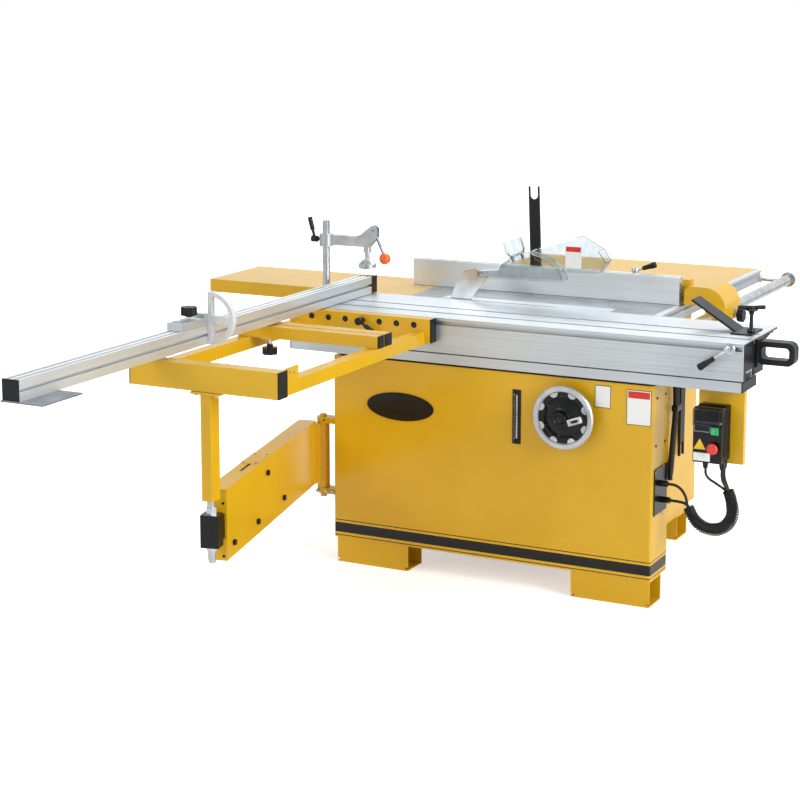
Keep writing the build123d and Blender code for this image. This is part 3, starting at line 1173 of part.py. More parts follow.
# ---------------------------------------------------------------- handles, shoe and push stick
def push_handle():
    x0 = BEAM_X1 + CAP_T
    y0, y1 = 120.0, 170.0
    outline = RectangleRounded(PUSH_L, PUSH_H, 24)
    inner = RectangleRounded(PUSH_L - 2 * PUSH_GRIP, PUSH_H - 2 * PUSH_GRIP, 12)
    on = Plane(origin=((PUSH_END + x0) / 2, y1, 842.5), x_dir=(1, 0, 0), z_dir=(0, -1, 0))
    loop = extrude(on * (outline - inner), y1 - y0, dir=(0, -1, 0))
    return loop + slab(x0, x0 + 8, y0 - 6, y1 + 6, 796, SLIDE_TOP - 4)


def edging_shoe():
    y = SLOT_Y[1]
    x0 = SHOE_X - 56
    base = slab(x0, SHOE_X + 13, y - 38, y + 82, SLIDE_TOP, SLIDE_TOP + 5)
    base -= rod((SHOE_X, y, SLIDE_TOP - 1), (SHOE_X, y, SLIDE_TOP + 6), 6 + RUN_GAP)
    peak = SLIDE_TOP + 97
    ramp = along_y([(x0 + 14, SLIDE_TOP + 4), (x0, SLIDE_TOP + 4), (x0 - 140, peak - 5), (x0 - 140, peak),
                    (x0 - 136, peak)], y - 10, y + 70)
    return base + ramp


def shoe_handle():
    y = SLOT_Y[1]
    low = SLIDE_TOP - SLOT_NECK - 4
    post = rod((SHOE_X, y, low), (SHOE_X, y, 978), 6)
    collar = rod((SHOE_X, y, SLIDE_TOP + 5 + SLIP), (SHOE_X, y, SLIDE_TOP + 20), 12)
    a = radians(30)
    cross = rod((SHOE_X - 45 * cos(a), y - 45 * sin(a), 974), (SHOE_X + 45 * cos(a), y + 45 * sin(a), 974), 7)
    return post + collar + cross


def forked_stick(length):
    """Flat push stick lying in XY, its fork at +Y and its blunt end on the X axis."""
    half = STICK_W / 2
    notch_r = half - STICK_TINE
    stick = Pos(0, length / 2, 0) * Box(STICK_W, length, STICK_T)
    stick -= Pos(0, length - STICK_NOTCH + notch_r, 0) * Cylinder(notch_r, 2 * STICK_T)
    reach = STICK_NOTCH - notch_r + 1
    return stick - Pos(0, length + 1 - reach / 2, 0) * Box(2 * notch_r, reach, 2 * STICK_T)


def push_stick():
    """Forked stick that hangs on a pin in the rear cabinet's side, fork down."""
    x = WING_W / 2
    at = Plane(origin=(x + HANGING_GAP + STICK_T / 2, HANGING_Y, HANGING_TOP), x_dir=(0, 1, 0), z_dir=(-1, 0, 0))
    pin_z = HANGING_TOP - 22
    pin = rod((x, HANGING_Y, pin_z), (x + HANGING_GAP + STICK_T + 6, HANGING_Y, pin_z), 4)
    return at * forked_stick(HANGING_L) + pin


def holder_plane():
    """Middle of the floor of the stick's pocket on the rip fence's back, leaning with the stick."""
    lean = radians(STICK_LEAN)
    y = RIP_BACK + HOLDER_WALL + SLIP + STICK_T / 2
    return Plane(origin=(HOLDER_X, y, HOLDER_Z), x_dir=(cos(lean), 0, sin(lean)), z_dir=(0, -1, 0))


def stick_holder():
    """Pocket on the rip fence's back, open at the top."""
    room = STICK_T + 2 * SLIP
    height = HOLDER_H + HOLDER_WALL
    middle = HOLDER_H / 2 - HOLDER_WALL / 2
    block = Pos(0, middle, 0) * Box(STICK_W + 2 * SLIP + 2 * HOLDER_WALL, height, room + 2 * HOLDER_WALL)
    block -= Pos(0, HOLDER_H / 2 + 1, 0) * Box(STICK_W + 2 * SLIP, HOLDER_H + 2, room)
    return holder_plane() * block


lock_x = BEAM_X1 - TABLE_LOCK_IN
lock_y = BEAM_FRONT - SLIP
node("push_handle", push_handle())
node("edging_shoe", edging_shoe())
node("shoe_handle", shoe_handle())
node("push_stick", push_stick())
node("stick_holder", stick_holder(), holder_plane() * forked_stick(UPRIGHT_L))
node("table_lock_lever",
     clamp_lever((lock_x, lock_y, SIDE_SLOT_Z), (0, -1, 0), (lock_x - 90, lock_y - 28, SIDE_SLOT_Z - 63),
                 20, 15, 18, 9, 6))


# ---------------------------------------------------------------- switch and cables
def switch_box():
    x0 = SWITCH_X - SWITCH_W / 2
    x1 = SWITCH_X + SWITCH_W / 2
    z0, z1 = SWITCH_Z
    w = SWITCH_WALL
    box = slab(x0, x1, SWITCH_FRONT, SWITCH_BACK, z0, z1)
    box -= slab(x0 + w, x1 - w, SWITCH_FRONT + w, SWITCH_BACK - w, z0 + w, z1 - w)
    for (x, z), r in ((START, 12.0), (STOP, 9.0)):
        box -= rod((x, SWITCH_FRONT - 1, z), (x, SWITCH_FRONT + w + 1, z), r + 0.4)
    for y in GLAND_Y:
        box += rod((GLAND_X, y, z0 - GLAND_L), (GLAND_X, y, z0), GLAND_R)
    return box


def switch_bracket():
    y0 = SWITCH_BACK
    x0 = SWITCH_X - 60
    x1 = SWITCH_X + 89
    low = SWITCH_Z[0] - 16
    plate = slab(x0, x1, y0, y0 + BRACKET_T, low, BEAM_BOTTOM)
    plate += slab(x0, x1, y0, y0 + 60, BEAM_BOTTOM - BRACKET_T, BEAM_BOTTOM)
    plate += slab(x1 - BRACKET_T, x1, y0, y0 + 26, low, BEAM_BOTTOM)
    return plate


def cable_fittings():
    x0 = HALF_CABINET
    parts = slab(x0, x0 + 4, PLATE_Y - 58, PLATE_Y + 58, PLATE_Z - 76, PLATE_Z + 76)
    for y, z in PLATE_GLANDS:
        parts += rod((x0 + 4, y, z), (x0 + 4 + GLAND_L, y, z), GLAND_R)
    return parts


def cable_route(gland, first, entry_y, side):
    """Points of one cable: out of its gland, along inside the conduit, up to the switch box."""
    y, z = gland
    x0 = HALF_CABINET + 4 + GLAND_L
    droop = [(x0, y, z)] + [(x0 + dx, y, z + dz) for dx, dz in first]
    inside = [(px, py + side, pz) for px, py, pz in CONDUIT_ROUTE]
    top = SWITCH_Z[0] - GLAND_L
    return droop + inside + [(GLAND_X, entry_y, top - 30), (GLAND_X, entry_y, top)]


conduit_wire, conduit_radii = route(CONDUIT_ROUTE)
conduit_at = Plane(origin=conduit_wire @ 0, z_dir=conduit_wire % 0)
conduit = sweep(conduit_at * (Circle(CONDUIT_R) - Circle(CONDUIT_BORE)), path=conduit_wire)
print("conduit length", round(conduit_wire.length, 1), "bends", conduit_radii)
node("switch_bracket", switch_bracket())
node("switch_box", switch_box())
node("cable_fittings", cable_fittings())
node("conduit", conduit)
node("cables",
     cord(cable_route(PLATE_GLANDS[0], CABLE_STARTS[0], GLAND_Y[0], -CABLE_APART), CABLE_R),
     cord(cable_route(PLATE_GLANDS[1], CABLE_STARTS[1], GLAND_Y[1], CABLE_APART), CABLE_R))


def button(at, radius, out, shaft_r):
    x, z = at
    cap = rod((x, SWITCH_FRONT - out, z), (x, SWITCH_FRONT - out + 9, z), radius)
    return cap + rod((x, SWITCH_FRONT - out, z), (x, SWITCH_FRONT + 14, z), shaft_r)


def switch_flap():
    """Clear flap over the box's top plate, on a hinge barrel."""
    x0 = SWITCH_X - SWITCH_W / 2 + 4
    x1 = SWITCH_X + SWITCH_W / 2 - 4
    y, z = FLAP_PIN
    flap = rod((x0, y, z), (x1, y, z), HINGE_R)
    flap += slab(x0, x1, y - 12, y, z - 2, z + 1)
    return flap + slab(x0, x1, y - 14, y - 11, z - 50, z + 1)


node("start_button", button(START, 12.0, 8.0, 11.9))
node("stop_button", button(STOP, 18.0, 22.0, 9.0))
node("switch_flap", switch_flap())


# ---------------------------------------------------------------- export
total = 0
for name, solids in NODES.items():
    pieces = []
    for shape in solids:
        pieces += list(shape.solids())
    placed = Pos(-DATUM_X, -DATUM_Y, 0) * Compound(pieces)
    export_step(placed, f"parts/{name}.step")
    total += len(pieces)
print(len(NODES), "nodes,", total, "solids, datum", DATUM_X, DATUM_Y)
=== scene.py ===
"""Looks of a sliding-table panel saw: enamelled cabinets, extruded tables, fences, guard and controls.

Lengths are metres. Places are taken from the CAD nodes' boxes; spot() gives one in millimetres from
the front cabinet's middle, its front panel and the floor.
"""

import json
from math import cos, pi, radians, sin

import bmesh
import bpy
from mathutils import Matrix, Vector

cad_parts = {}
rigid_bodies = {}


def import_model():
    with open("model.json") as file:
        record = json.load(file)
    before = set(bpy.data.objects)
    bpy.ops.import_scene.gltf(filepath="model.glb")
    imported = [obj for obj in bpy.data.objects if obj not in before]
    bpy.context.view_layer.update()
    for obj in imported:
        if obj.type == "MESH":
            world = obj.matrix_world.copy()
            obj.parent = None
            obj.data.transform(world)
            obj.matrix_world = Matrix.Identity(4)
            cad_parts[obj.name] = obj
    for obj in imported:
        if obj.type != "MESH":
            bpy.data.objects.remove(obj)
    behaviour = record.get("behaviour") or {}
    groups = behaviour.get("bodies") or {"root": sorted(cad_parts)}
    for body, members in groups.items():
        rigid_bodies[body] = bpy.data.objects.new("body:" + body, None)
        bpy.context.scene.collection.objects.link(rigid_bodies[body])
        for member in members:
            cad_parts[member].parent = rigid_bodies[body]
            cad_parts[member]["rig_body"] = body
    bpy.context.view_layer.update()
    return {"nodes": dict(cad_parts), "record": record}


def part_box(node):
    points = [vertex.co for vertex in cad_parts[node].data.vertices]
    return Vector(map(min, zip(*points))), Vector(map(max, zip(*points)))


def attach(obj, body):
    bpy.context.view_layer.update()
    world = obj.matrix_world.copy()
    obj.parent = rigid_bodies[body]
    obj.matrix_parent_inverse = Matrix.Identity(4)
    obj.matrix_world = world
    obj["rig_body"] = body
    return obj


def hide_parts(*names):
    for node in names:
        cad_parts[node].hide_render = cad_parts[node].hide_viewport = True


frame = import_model()
NODES = frame["nodes"]
SLOT_OF = {part["node"]: part["material_slot"] for part in frame["record"]["subparts"]}
CABINET_LOW, CABINET_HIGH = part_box("front_cabinet")
ORIGIN = Vector(((CABINET_LOW.x + CABINET_HIGH.x) / 2, CABINET_LOW.y, 0))
Y, Z = Vector((0, 1, 0)), Vector((0, 0, 1))


def spot(x, y, z):
    """Place in millimetres from the cabinet's middle, its front panel and the floor."""
    return ORIGIN + Vector((x, y, z)) / 1000


def body_of(node):
    """Body that a CAD node rides on."""
    return NODES[node]["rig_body"]


# ---------------------------------------------------------------- camera, lamps and floor
def set_camera():
    """Camera in front of the saw, to its right and above it."""
    bpy.ops.object.camera_add(location=(2.785, -5.7015, 2.025),
                              rotation=(radians(80.355), 0, radians(27.059)))
    camera = bpy.context.object
    camera.data.lens = 88.74
    camera.data.sensor_width = 36
    camera.data.shift_y = -0.12
    camera.data.clip_end = 60
    bpy.context.scene.camera = camera


def softbox(name, place, aim, size, power, colour=(1, 1, 1)):
    """Large soft lamp at place, turned towards aim."""
    bpy.ops.object.light_add(type="AREA", location=place)
    lamp = bpy.context.object
    lamp.name = name
    lamp.data.shape = "RECTANGLE"
    lamp.data.size, lamp.data.size_y = size
    lamp.data.energy = power
    lamp.data.color = colour
    lamp.rotation_euler = (Vector(aim) - Vector(place)).to_track_quat("-Z", "Y").to_euler()


# ---------------------------------------------------------------- materials
def linear(hex_code):
    """sRGB hex colour as the linear values that shaders take."""
    values = [int(hex_code[i:i + 2], 16) / 255 for i in (1, 3, 5)]
    return tuple(v / 12.92 if v <= 0.04045 else ((v + 0.055) / 1.055) ** 2.4 for v in values) + (1.0,)


def new_finish(name, **settings):
    """Empty material and its shader, with constants set on the shader's own sockets."""
    material = bpy.data.materials.new(name)
    material.use_nodes = True
    shader = material.node_tree.nodes["Principled BSDF"]
    for socket, value in settings.items():
        shader.inputs[socket.replace("_", " ")].default_value = value
    return material, material.node_tree, shader


def add(tree, kind, inputs=None, **settings):
    """Add one shader node with its settings, and link or set its inputs."""
    made = tree.nodes.new(kind)
    for key, value in settings.items():
        setattr(made, key, value)
    for socket, value in (inputs or {}).items():
        if isinstance(value, bpy.types.NodeSocket):
            tree.links.new(value, made.inputs[socket])
        else:
            made.inputs[socket].default_value = value
    return made


def dress(tree, shader, tone, colours, grain, rough, relief=None, span=(0.35, 0.65)):
    """Colour that follows tone between two hex colours over its span, and roughness and relief
    (distance, strength) that follow grain. Returns the colour's socket."""
    ramp = add(tree, "ShaderNodeValToRGB", {"Fac": tone})
    for stop, position, colour in zip(ramp.color_ramp.elements, span, colours):
        stop.position = position
        stop.color = linear(colour)
    tree.links.new(ramp.outputs["Color"], shader.inputs["Base Color"])
    gloss = add(tree, "ShaderNodeMapRange", {"Value": grain, "To Min": rough[0], "To Max": rough[1]})
    tree.links.new(gloss.outputs["Result"], shader.inputs["Roughness"])
    if relief:
        bump = add(tree, "ShaderNodeBump", {"Height": grain, "Distance": relief[0], "Strength": relief[1]})
        tree.links.new(bump.outputs["Normal"], shader.inputs["Normal"])
    return ramp.outputs["Color"]


def grained(name, colours, rough, grain, cloud=None, relief=None, **settings):
    """Finish with a fine grain in its sheen and a slow cloud in its colour, each (scale, detail).
    Without a cloud the grain sets the colour too."""
    material, tree, shader = new_finish(name, **settings)
    place = add(tree, "ShaderNodeTexCoord").outputs["Object"]
    fine, slow = (add(tree, "ShaderNodeTexNoise", {"Vector": place, "Scale": scale, "Detail": detail})
                  for scale, detail in (grain, cloud or grain))
    dress(tree, shader, slow.outputs["Fac"], colours, fine.outputs["Fac"], rough, relief)
    return material


def gloss_enamel(name, bands=()):
    """Golden yellow enamel, sprayed and stoved on steel: an even colour under a wet gloss whose
    reflections ripple with orange peel. bands are (low, high) heights painted black."""
    material, tree, shader = new_finish(name, IOR=1.5)
    place = add(tree, "ShaderNodeTexCoord").outputs["Object"]
    cloud = add(tree, "ShaderNodeTexNoise", {"Vector": place, "Scale": 4.0, "Detail": 2.0}).outputs["Fac"]
    # orange peel is about 2 mm across; it is drawn at 7 mm so that it shows
    peel = add(tree, "ShaderNodeTexNoise", {"Vector": place, "Scale": 140.0, "Detail": 1.0}).outputs["Fac"]
    colour = dress(tree, shader, cloud, ("#DBAA13", "#E1B01A"), peel, (0.2, 0.28), (0.0001, 0.06))
    if bands:
        height = add(tree, "ShaderNodeSeparateXYZ", {"Vector": place}).outputs["Z"]
    for low, high in bands:
        above = add(tree, "ShaderNodeMath", {0: height, 1: low}, operation="GREATER_THAN")
        below = add(tree, "ShaderNodeMath", {0: height, 1: high}, operation="LESS_THAN")
        both = add(tree, "ShaderNodeMath", {0: above.outputs[0], 1: below.outputs[0]}, operation="MULTIPLY")
        mix = add(tree, "ShaderNodeMix", {"Factor": both.outputs[0]}, data_type="RGBA")
        tree.links.new(colour, mix.inputs["A"])
        mix.inputs["B"].default_value = linear("#060607")
        colour = mix.outputs["Result"]
    tree.links.new(colour, shader.inputs["Base Color"])
    return material


def drawn_aluminium(name, along, light="#D4D9DC", dark="#C2C9CD"):
    """Clear anodised aluminium pressed through a die: a satin metal with straight drawing lines
    along the bar, so its shine spreads across them. The oxide skin is milky, so it is not all metal."""
    material, tree, shader = new_finish(name, Metallic=0.78)
    place = add(tree, "ShaderNodeTexCoord").outputs["Object"]
    cloud = add(tree, "ShaderNodeTexNoise", {"Vector": place, "Scale": 3.0, "Detail": 1.0}).outputs["Fac"]
    # die lines are under 1 mm apart; they are drawn 3 mm apart
    scale = {"x": (0.6, 330, 330), "y": (330, 0.6, 330)}[along]
    bar = add(tree, "ShaderNodeMapping", {"Vector": place, "Scale": scale}).outputs["Vector"]
    lines = add(tree, "ShaderNodeTexNoise", {"Vector": bar, "Scale": 1.0, "Detail": 2.0}).outputs["Fac"]
    both = add(tree, "ShaderNodeMath", {0: lines, 1: cloud}, operation="MULTIPLY").outputs[0]
    dress(tree, shader, both, (dark, light), lines, (0.34, 0.46), (0.00015, 0.25), (0.12, 0.4))
    return material


def ground_cast_iron(name):
    """Cast iron planed and surface ground: a grey metal with fine straight grinding marks along the
    table, and faint clouds where the stone passed."""
    material, tree, shader = new_finish(name, Metallic=1.0)
    place = add(tree, "ShaderNodeTexCoord").outputs["Object"]
    cloud = add(tree, "ShaderNodeTexNoise", {"Vector": place, "Scale": 9.0, "Detail": 2.0}).outputs["Fac"]
    # grinding marks are finer than 0.5 mm; they are drawn 4 mm apart
    stroke = add(tree, "ShaderNodeMapping", {"Vector": place, "Scale": (3, 250, 250)}).outputs["Vector"]
    marks = add(tree, "ShaderNodeTexNoise", {"Vector": stroke, "Scale": 1.0, "Detail": 3.0}).outputs["Fac"]
    dress(tree, shader, cloud, ("#888E92", "#A3A8AB"), marks, (0.26, 0.44), (0.0001, 0.2))
    return material


def turned_steel(name, light="#D8DADC", dark="#BFC2C5", rough=(0.14, 0.26)):
    """Steel turned and zinc plated: a bright metal with a close tool mark round it."""
    # tool marks are 0.2 mm apart; they are drawn 2.5 mm apart
    return grained(name, (dark, light), rough, (400.0, 1.0), (20.0, 2.0), Metallic=1.0)


def cast_aluminium(name, light="#CDD1D4", dark="#B4B9BD"):
    """Aluminium cast and tumbled: a soft grey metal with a fine pebbled skin."""
    # the sand skin is about 1 mm; it is drawn at 2 mm
    return grained(name, (dark, light), (0.32, 0.48), (500.0, 2.0), (25.0, 2.0), (0.0002, 0.3), Metallic=1.0)


def moulded_nylon(name, dark="#0C0D0F", light="#131416", rough=(0.36, 0.5)):
    """Glass-filled nylon, injection moulded: near black with a fine spark-eroded grain that
    breaks up its sheen."""
    # the grain is 0.3 mm; it is drawn at 1.5 mm
    return grained(name, (dark, light), rough, (650.0, 2.0), (30.0, 1.0), (0.0002, 0.25),
                   IOR=1.53, Specular_IOR_Level=0.35)


def gloss_moulding(name, light, dark):
    """Phenolic or ABS pressed in a polished mould: a strong even colour under a smooth shine."""
    return grained(name, (dark, light), (0.16, 0.26), (60.0, 2.0), IOR=1.54, Coat_Weight=0.3,
                   Coat_Roughness=0.05)


def clear_polycarbonate(name, tint="#E6EBED", shade="#DCE2E5", rough=(0.02, 0.08)):
    """Polycarbonate sheet, moulded clear: see-through with a faint cool haze and bright edges. Its
    IOR is below the sheet's own, because each wall bends light as one surface in a thin sheet."""
    return grained(name, (shade, tint), rough, (40.0, 2.0), IOR=1.28, Transmission_Weight=1.0)


def rubber_sheath(name):
    """Cable rubber, extruded: dull black that shines only a little along the bend."""
    return grained(name, ("#0B0B0C", "#121214"), (0.45, 0.6), (300.0, 2.0), IOR=1.5)


def printed_plate(name, light="#F4F4F1", dark="#ECECE8"):
    """Vinyl label on a thin aluminium plate: flat white with a faint satin shine."""
    return grained(name, (dark, light), (0.3, 0.4), (120.0, 2.0), IOR=1.46)


# heights in metres of the black bands on the front cabinet: a broad one between two thin lines
CABINET_BANDS = ((0.094, 0.097), (0.106, 0.140), (0.148, 0.151))
FINISH = {
    "gold": gloss_enamel("gold_gloss_enamel"),
    "striped": gloss_enamel("gold_enamel_with_black_bands", CABINET_BANDS),
    "aluminium_x": drawn_aluminium("anodised_aluminium_drawn_along_x", "x"),
    "aluminium_y": drawn_aluminium("anodised_aluminium_drawn_along_y", "y"),
    "fence_x": drawn_aluminium("bright_anodised_fence_along_x", "x", "#EDF0F1", "#E0E4E6"),
    "fence_y": drawn_aluminium("bright_anodised_fence_along_y", "y", "#E8EBED", "#DADFE1"),
    "iron": ground_cast_iron("ground_cast_iron"),
    "steel": turned_steel("turned_zinc_steel"),
    # sheared or blackened instead of turned: greyer and duller; the grey one, on the cam lever's bright steel
    # rod, is painted shade
    "grey_steel": turned_steel("sheared_steel_plate_and_painted_shade_rod", "#9A9EA3", "#85898E", (0.32, 0.44)),
    "dark_steel": turned_steel("blackened_steel", "#45474B", "#35373A", (0.3, 0.42)),
    "casting": cast_aluminium("tumbled_cast_aluminium"),
    "wheel_silver": cast_aluminium("turned_cast_aluminium_wheel", "#D3D6D8", "#C2C6C9"),
    # stoved paint: an even black with a soft shine; thick grey paint: a dull skin over a rough casting
    "satin_black": moulded_nylon("satin_black_stoving_paint", "#060607", "#0A0A0B", (0.22, 0.3)),
    "machinery": cast_aluminium("grey_painted_casting", "#5A5C60", "#46484C"),
    "nylon": moulded_nylon("black_moulded_nylon"),
    "grey_nylon": moulded_nylon("grey_moulded_nylon", "#7C7F84", "#8A8D92"),
    "orange": gloss_moulding("orange_phenolic_ball", "#FF6A14", "#F25E0C"),
    "red": gloss_moulding("red_moulded_button", "#E63A28", "#D83020"),
    "green": gloss_moulding("green_moulded_button", "#2DB566", "#27A85D"),
    "clear": clear_polycarbonate("clear_polycarbonate"),
    "smoked": clear_polycarbonate("smoked_clear_flap", "#8F9298", "#7E8187", (0.04, 0.1)),
    "rubber": rubber_sheath("cable_rubber"),
    # printed ink and powder coat: flat, even colours
    "white_plate": printed_plate("white_printed_plate"),
    "pale_casting": printed_plate("white_powder_coated_casting", "#E2E5E8", "#D6DADD"),
    "red_print": printed_plate("red_printed_ink", "#D9362A", "#CC2F24"),
    "yellow_print": printed_plate("yellow_printed_ink", "#F3C81E", "#EBC018"),
}
BY_SLOT = {
    "yellow_enamel": "gold", "anodised_aluminium": "aluminium_x", "ground_iron": "iron",
    "turned_steel": "steel", "black_nylon": "nylon", "orange_grip": "orange", "stop_plate": "casting",
    "clear_guard": "clear", "cable_rubber": "rubber", "cast_iron_inside": "machinery",
    "green_button": "green", "red_button": "red",
}
BY_NODE = {
    "front_cabinet": "striped", "rip_fence": "fence_x", "crosscut_fence": "fence_y",
    "scale_rail": "aluminium_y", "clamp_arm": "casting", "cable_fittings": "nylon",
    "edging_shoe": "nylon", "stop_carriage": "aluminium_y", "table_insert": "aluminium_x",
    "switch_flap": "smoked", "arm_extension": "satin_black", "stick_holder": "nylon",
    "flip_stop": "pale_casting",
}


def finish_of(node):
    """Finish of a CAD node: its own, or its slot's."""
    return BY_NODE.get(node, BY_SLOT[SLOT_OF[node]])


def finish_nodes():
    """Give every CAD node its finish."""
    for name, node in NODES.items():
        node.data.materials.clear()
        node.data.materials.append(FINISH[finish_of(name)])


# ---------------------------------------------------------------- modelling tools
MERGE = 0.00001  # points closer than this are one


def deselect():
    """Leave edit mode and select nothing."""
    if bpy.context.object and bpy.context.object.mode != "OBJECT":
        bpy.ops.object.mode_set(mode="OBJECT")
    bpy.ops.object.select_all(action="DESELECT")


def only(obj):
    """Make this the one selected object."""
    deselect()
    obj.select_set(True)
    bpy.context.view_layer.objects.active = obj


def settle(obj):
    """Put an object's place, turn and size in its mesh."""
    only(obj)
    bpy.ops.object.transform_apply(location=True, rotation=True, scale=True)
    return obj


def round_edges(obj, width, segments=2, angle=35):
    """Round the edges that are sharper than the angle."""
    only(obj)
    bevel = obj.modifiers.new("edges", "BEVEL")
    bevel.width = width
    bevel.segments = segments
    bevel.limit_method = "ANGLE"
    bevel.angle_limit = radians(angle)
    bevel.harden_normals = False
    bpy.ops.object.modifier_apply(modifier=bevel.name)
    bpy.ops.object.shade_smooth_by_angle(angle=radians(30))
    even = obj.modifiers.new("even", "WEIGHTED_NORMAL")
    even.keep_sharp = True
    even.weight = 100
    bpy.ops.object.modifier_apply(modifier=even.name)
    return obj


def block(low, high, edge=0.001, segments=2):
    """Box between two corners with its edges rounded."""
    deselect()
    low, high = Vector(low), Vector(high)
    bpy.ops.mesh.primitive_cube_add(size=1, location=(low + high) / 2)
    obj = bpy.context.object
    obj.scale = [abs(v) for v in high - low]
    return round_edges(settle(obj), edge, segments)


def drum(start, end, radius, edge=0.0008, sides=40, segments=2):
    """Round bar between two points with its rims rounded."""
    deselect()
    start, end = Vector(start), Vector(end)
    along = end - start
    bpy.ops.mesh.primitive_cylinder_add(vertices=sides, radius=radius, depth=along.length,
                                        location=(start + end) / 2)
    obj = bpy.context.object
    obj.rotation_mode = "QUATERNION"
    obj.rotation_quaternion = along.to_track_quat("Z", "Y")
    return round_edges(settle(obj), edge, segments, 60)


def pick_faces(obj, test):
    """In edit mode, select the faces whose normal passes the test."""
    only(obj)
    bpy.ops.object.mode_set(mode="EDIT")
    bpy.ops.mesh.select_mode(type="FACE")
    bpy.ops.mesh.select_all(action="DESELECT")
    mesh = bmesh.from_edit_mesh(obj.data)
    for face in mesh.faces:
        face.select = test(face.normal)
    mesh.select_flush_mode()
    bmesh.update_edit_mesh(obj.data)


def object_mode():
    """Leave edit mode."""
    bpy.ops.object.mode_set(mode="OBJECT")


def edit_all(obj):
    """Open an object in edit mode with all of it selected."""
    only(obj)
    bpy.ops.object.mode_set(mode="EDIT")
    bpy.ops.mesh.select_all(action="SELECT")


def lathe(outline, at, axis, steps=64):
    """Outline of (radius, height) points spun about the axis through at."""
    deselect()
    bpy.ops.mesh.primitive_plane_add(size=1)
    obj = bpy.context.object
    edit_all(obj)
    bpy.ops.mesh.delete(type="VERT")
    mesh = bmesh.from_edit_mesh(obj.data)
    points = [mesh.verts.new((r, 0, h)) for r, h in outline]
    for a, b in zip(points, points[1:]):
        mesh.edges.new((a, b))
    bmesh.update_edit_mesh(obj.data)
    bpy.ops.mesh.select_all(action="SELECT")
    bpy.ops.mesh.spin(steps=steps, angle=2 * pi, center=(0, 0, 0), axis=(0, 0, 1))
    bpy.ops.mesh.select_all(action="SELECT")
    bpy.ops.mesh.remove_doubles(threshold=MERGE)
    bpy.ops.mesh.normals_make_consistent(inside=False)
    object_mode()
    obj.rotation_mode = "QUATERNION"
    obj.rotation_quaternion = Vector(axis).to_track_quat("Z", "Y")
    obj.location = at
    settle(obj)
    bpy.ops.object.shade_smooth_by_angle(angle=radians(35))
    return obj


def joined(pieces):
    """One object from several."""
    deselect()
    for piece in pieces:
        piece.select_set(True)
    bpy.context.view_layer.objects.active = pieces[0]
    bpy.ops.object.join()
    return bpy.context.object


def copied(obj, place):
    """Copy of an object with its own mesh, moved by the matrix place."""
    only(obj)
    bpy.ops.object.duplicate(linked=False)
    twin = bpy.context.object
    twin.matrix_world = place @ twin.matrix_world
    return settle(twin)


def cut(obj, tool):
    """Cut one closed shape out of another."""
    only(obj)
    boolean = obj.modifiers.new("cut", "BOOLEAN")
    boolean.operation = "DIFFERENCE"
    boolean.solver = "EXACT"
    boolean.object = tool
    bpy.ops.object.modifier_apply(modifier=boolean.name)
    bpy.data.objects.remove(tool)
    return obj


def keep(obj, name, body, finish, replaces=()):
    """Name a finished piece and give it its finish and the body that it rides on."""
    settle(obj)
    obj.name = name
    obj.data.name = name
    obj.data.materials.clear()
    obj.data.materials.append(FINISH[finish])
    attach(obj, body)
    if replaces:
        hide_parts(*replaces)
    return obj


def copy_of(node):
    """Free copy of a CAD node with its loose triangles merged."""
    only(NODES[node])
    bpy.ops.object.duplicate(linked=False)
    obj = bpy.context.object
    for key in [k for k in obj.keys() if k.startswith("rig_")]:
        del obj[key]
    world = obj.matrix_world.copy()
    obj.parent = None
    obj.matrix_world = world
    edit_all(obj)
    bpy.ops.mesh.remove_doubles(threshold=MERGE)
    bpy.ops.mesh.dissolve_limited(angle_limit=radians(1))
    object_mode()
    if obj.data.has_custom_normals:
        bpy.ops.mesh.customdata_custom_splitnormals_clear()
    return obj


def solids_of(node):
    """Free copies of a CAD node's solids, one object each, the widest along X first."""
    whole = copy_of(node)
    edit_all(whole)
    bpy.ops.mesh.separate(type="LOOSE")
    object_mode()
    pieces = list(bpy.context.selected_objects)
    if whole not in pieces:
        pieces.append(whole)
    return sorted(pieces, key=lambda piece: -piece.dimensions.x)


def softened(node, width, segments=2, finish=None):
    """Copy of a CAD node with its edges rounded, which replaces it."""
    obj = round_edges(copy_of(node), width, segments)
    return keep(obj, node + "_skin", body_of(node), finish or finish_of(node), (node,))


def plate(name, low, high, edge, finish, body="frame"):
    """Thin plate or strip on a surface, between two places in millimetres."""
    keep(block(spot(*low), spot(*high), edge, 1), name, body, finish)


def also_finish(obj, finish, test):
    """Give a second finish to the faces whose centre passes the test."""
    obj.data.materials.append(FINISH[finish])
    last = len(obj.data.materials) - 1
    for face in obj.data.polygons:
        if test(face.center):
            face.material_index = last


set_camera()
finish_nodes()

# ---------------------------------------------------------------- pressed and cast pieces
SOFT_EDGES = {
    "front_cabinet": 0.002, "rear_cabinet": 0.002, "feet": 0.0015, "outfeed_table": 0.002,
    "rip_extension_table": 0.002, "outrigger_frame": 0.002, "fence_support": 0.002, "swing_arm": 0.002,
    "arm_extension": 0.002, "support_post": 0.002, "push_handle": 0.006, "switch_bracket": 0.0012,
    "clamp_arm": 0.003, "stop_carriage": 0.0012, "flip_stop": 0.0015, "edging_shoe": 0.0012,
    "fence_carriage": 0.004, "main_table": 0.001, "arm_hinge": 0.0015, "clamp_arm_lever": 0.002,
    "outrigger_lever": 0.002, "table_end_caps": 0.0008,
}
for node_name, radius in SOFT_EDGES.items():
    softened(node_name, radius)


# ---------------------------------------------------------------- handwheel
# the wheel's axis and its nut's face, in millimetres as spot() takes them
WHEEL_X, WHEEL_Z = 288, 606
NUT_Y = -79.5
CRANK_HINGE = spot(WHEEL_X + 46, -101, 602)
CRANK_TURN = radians(20)


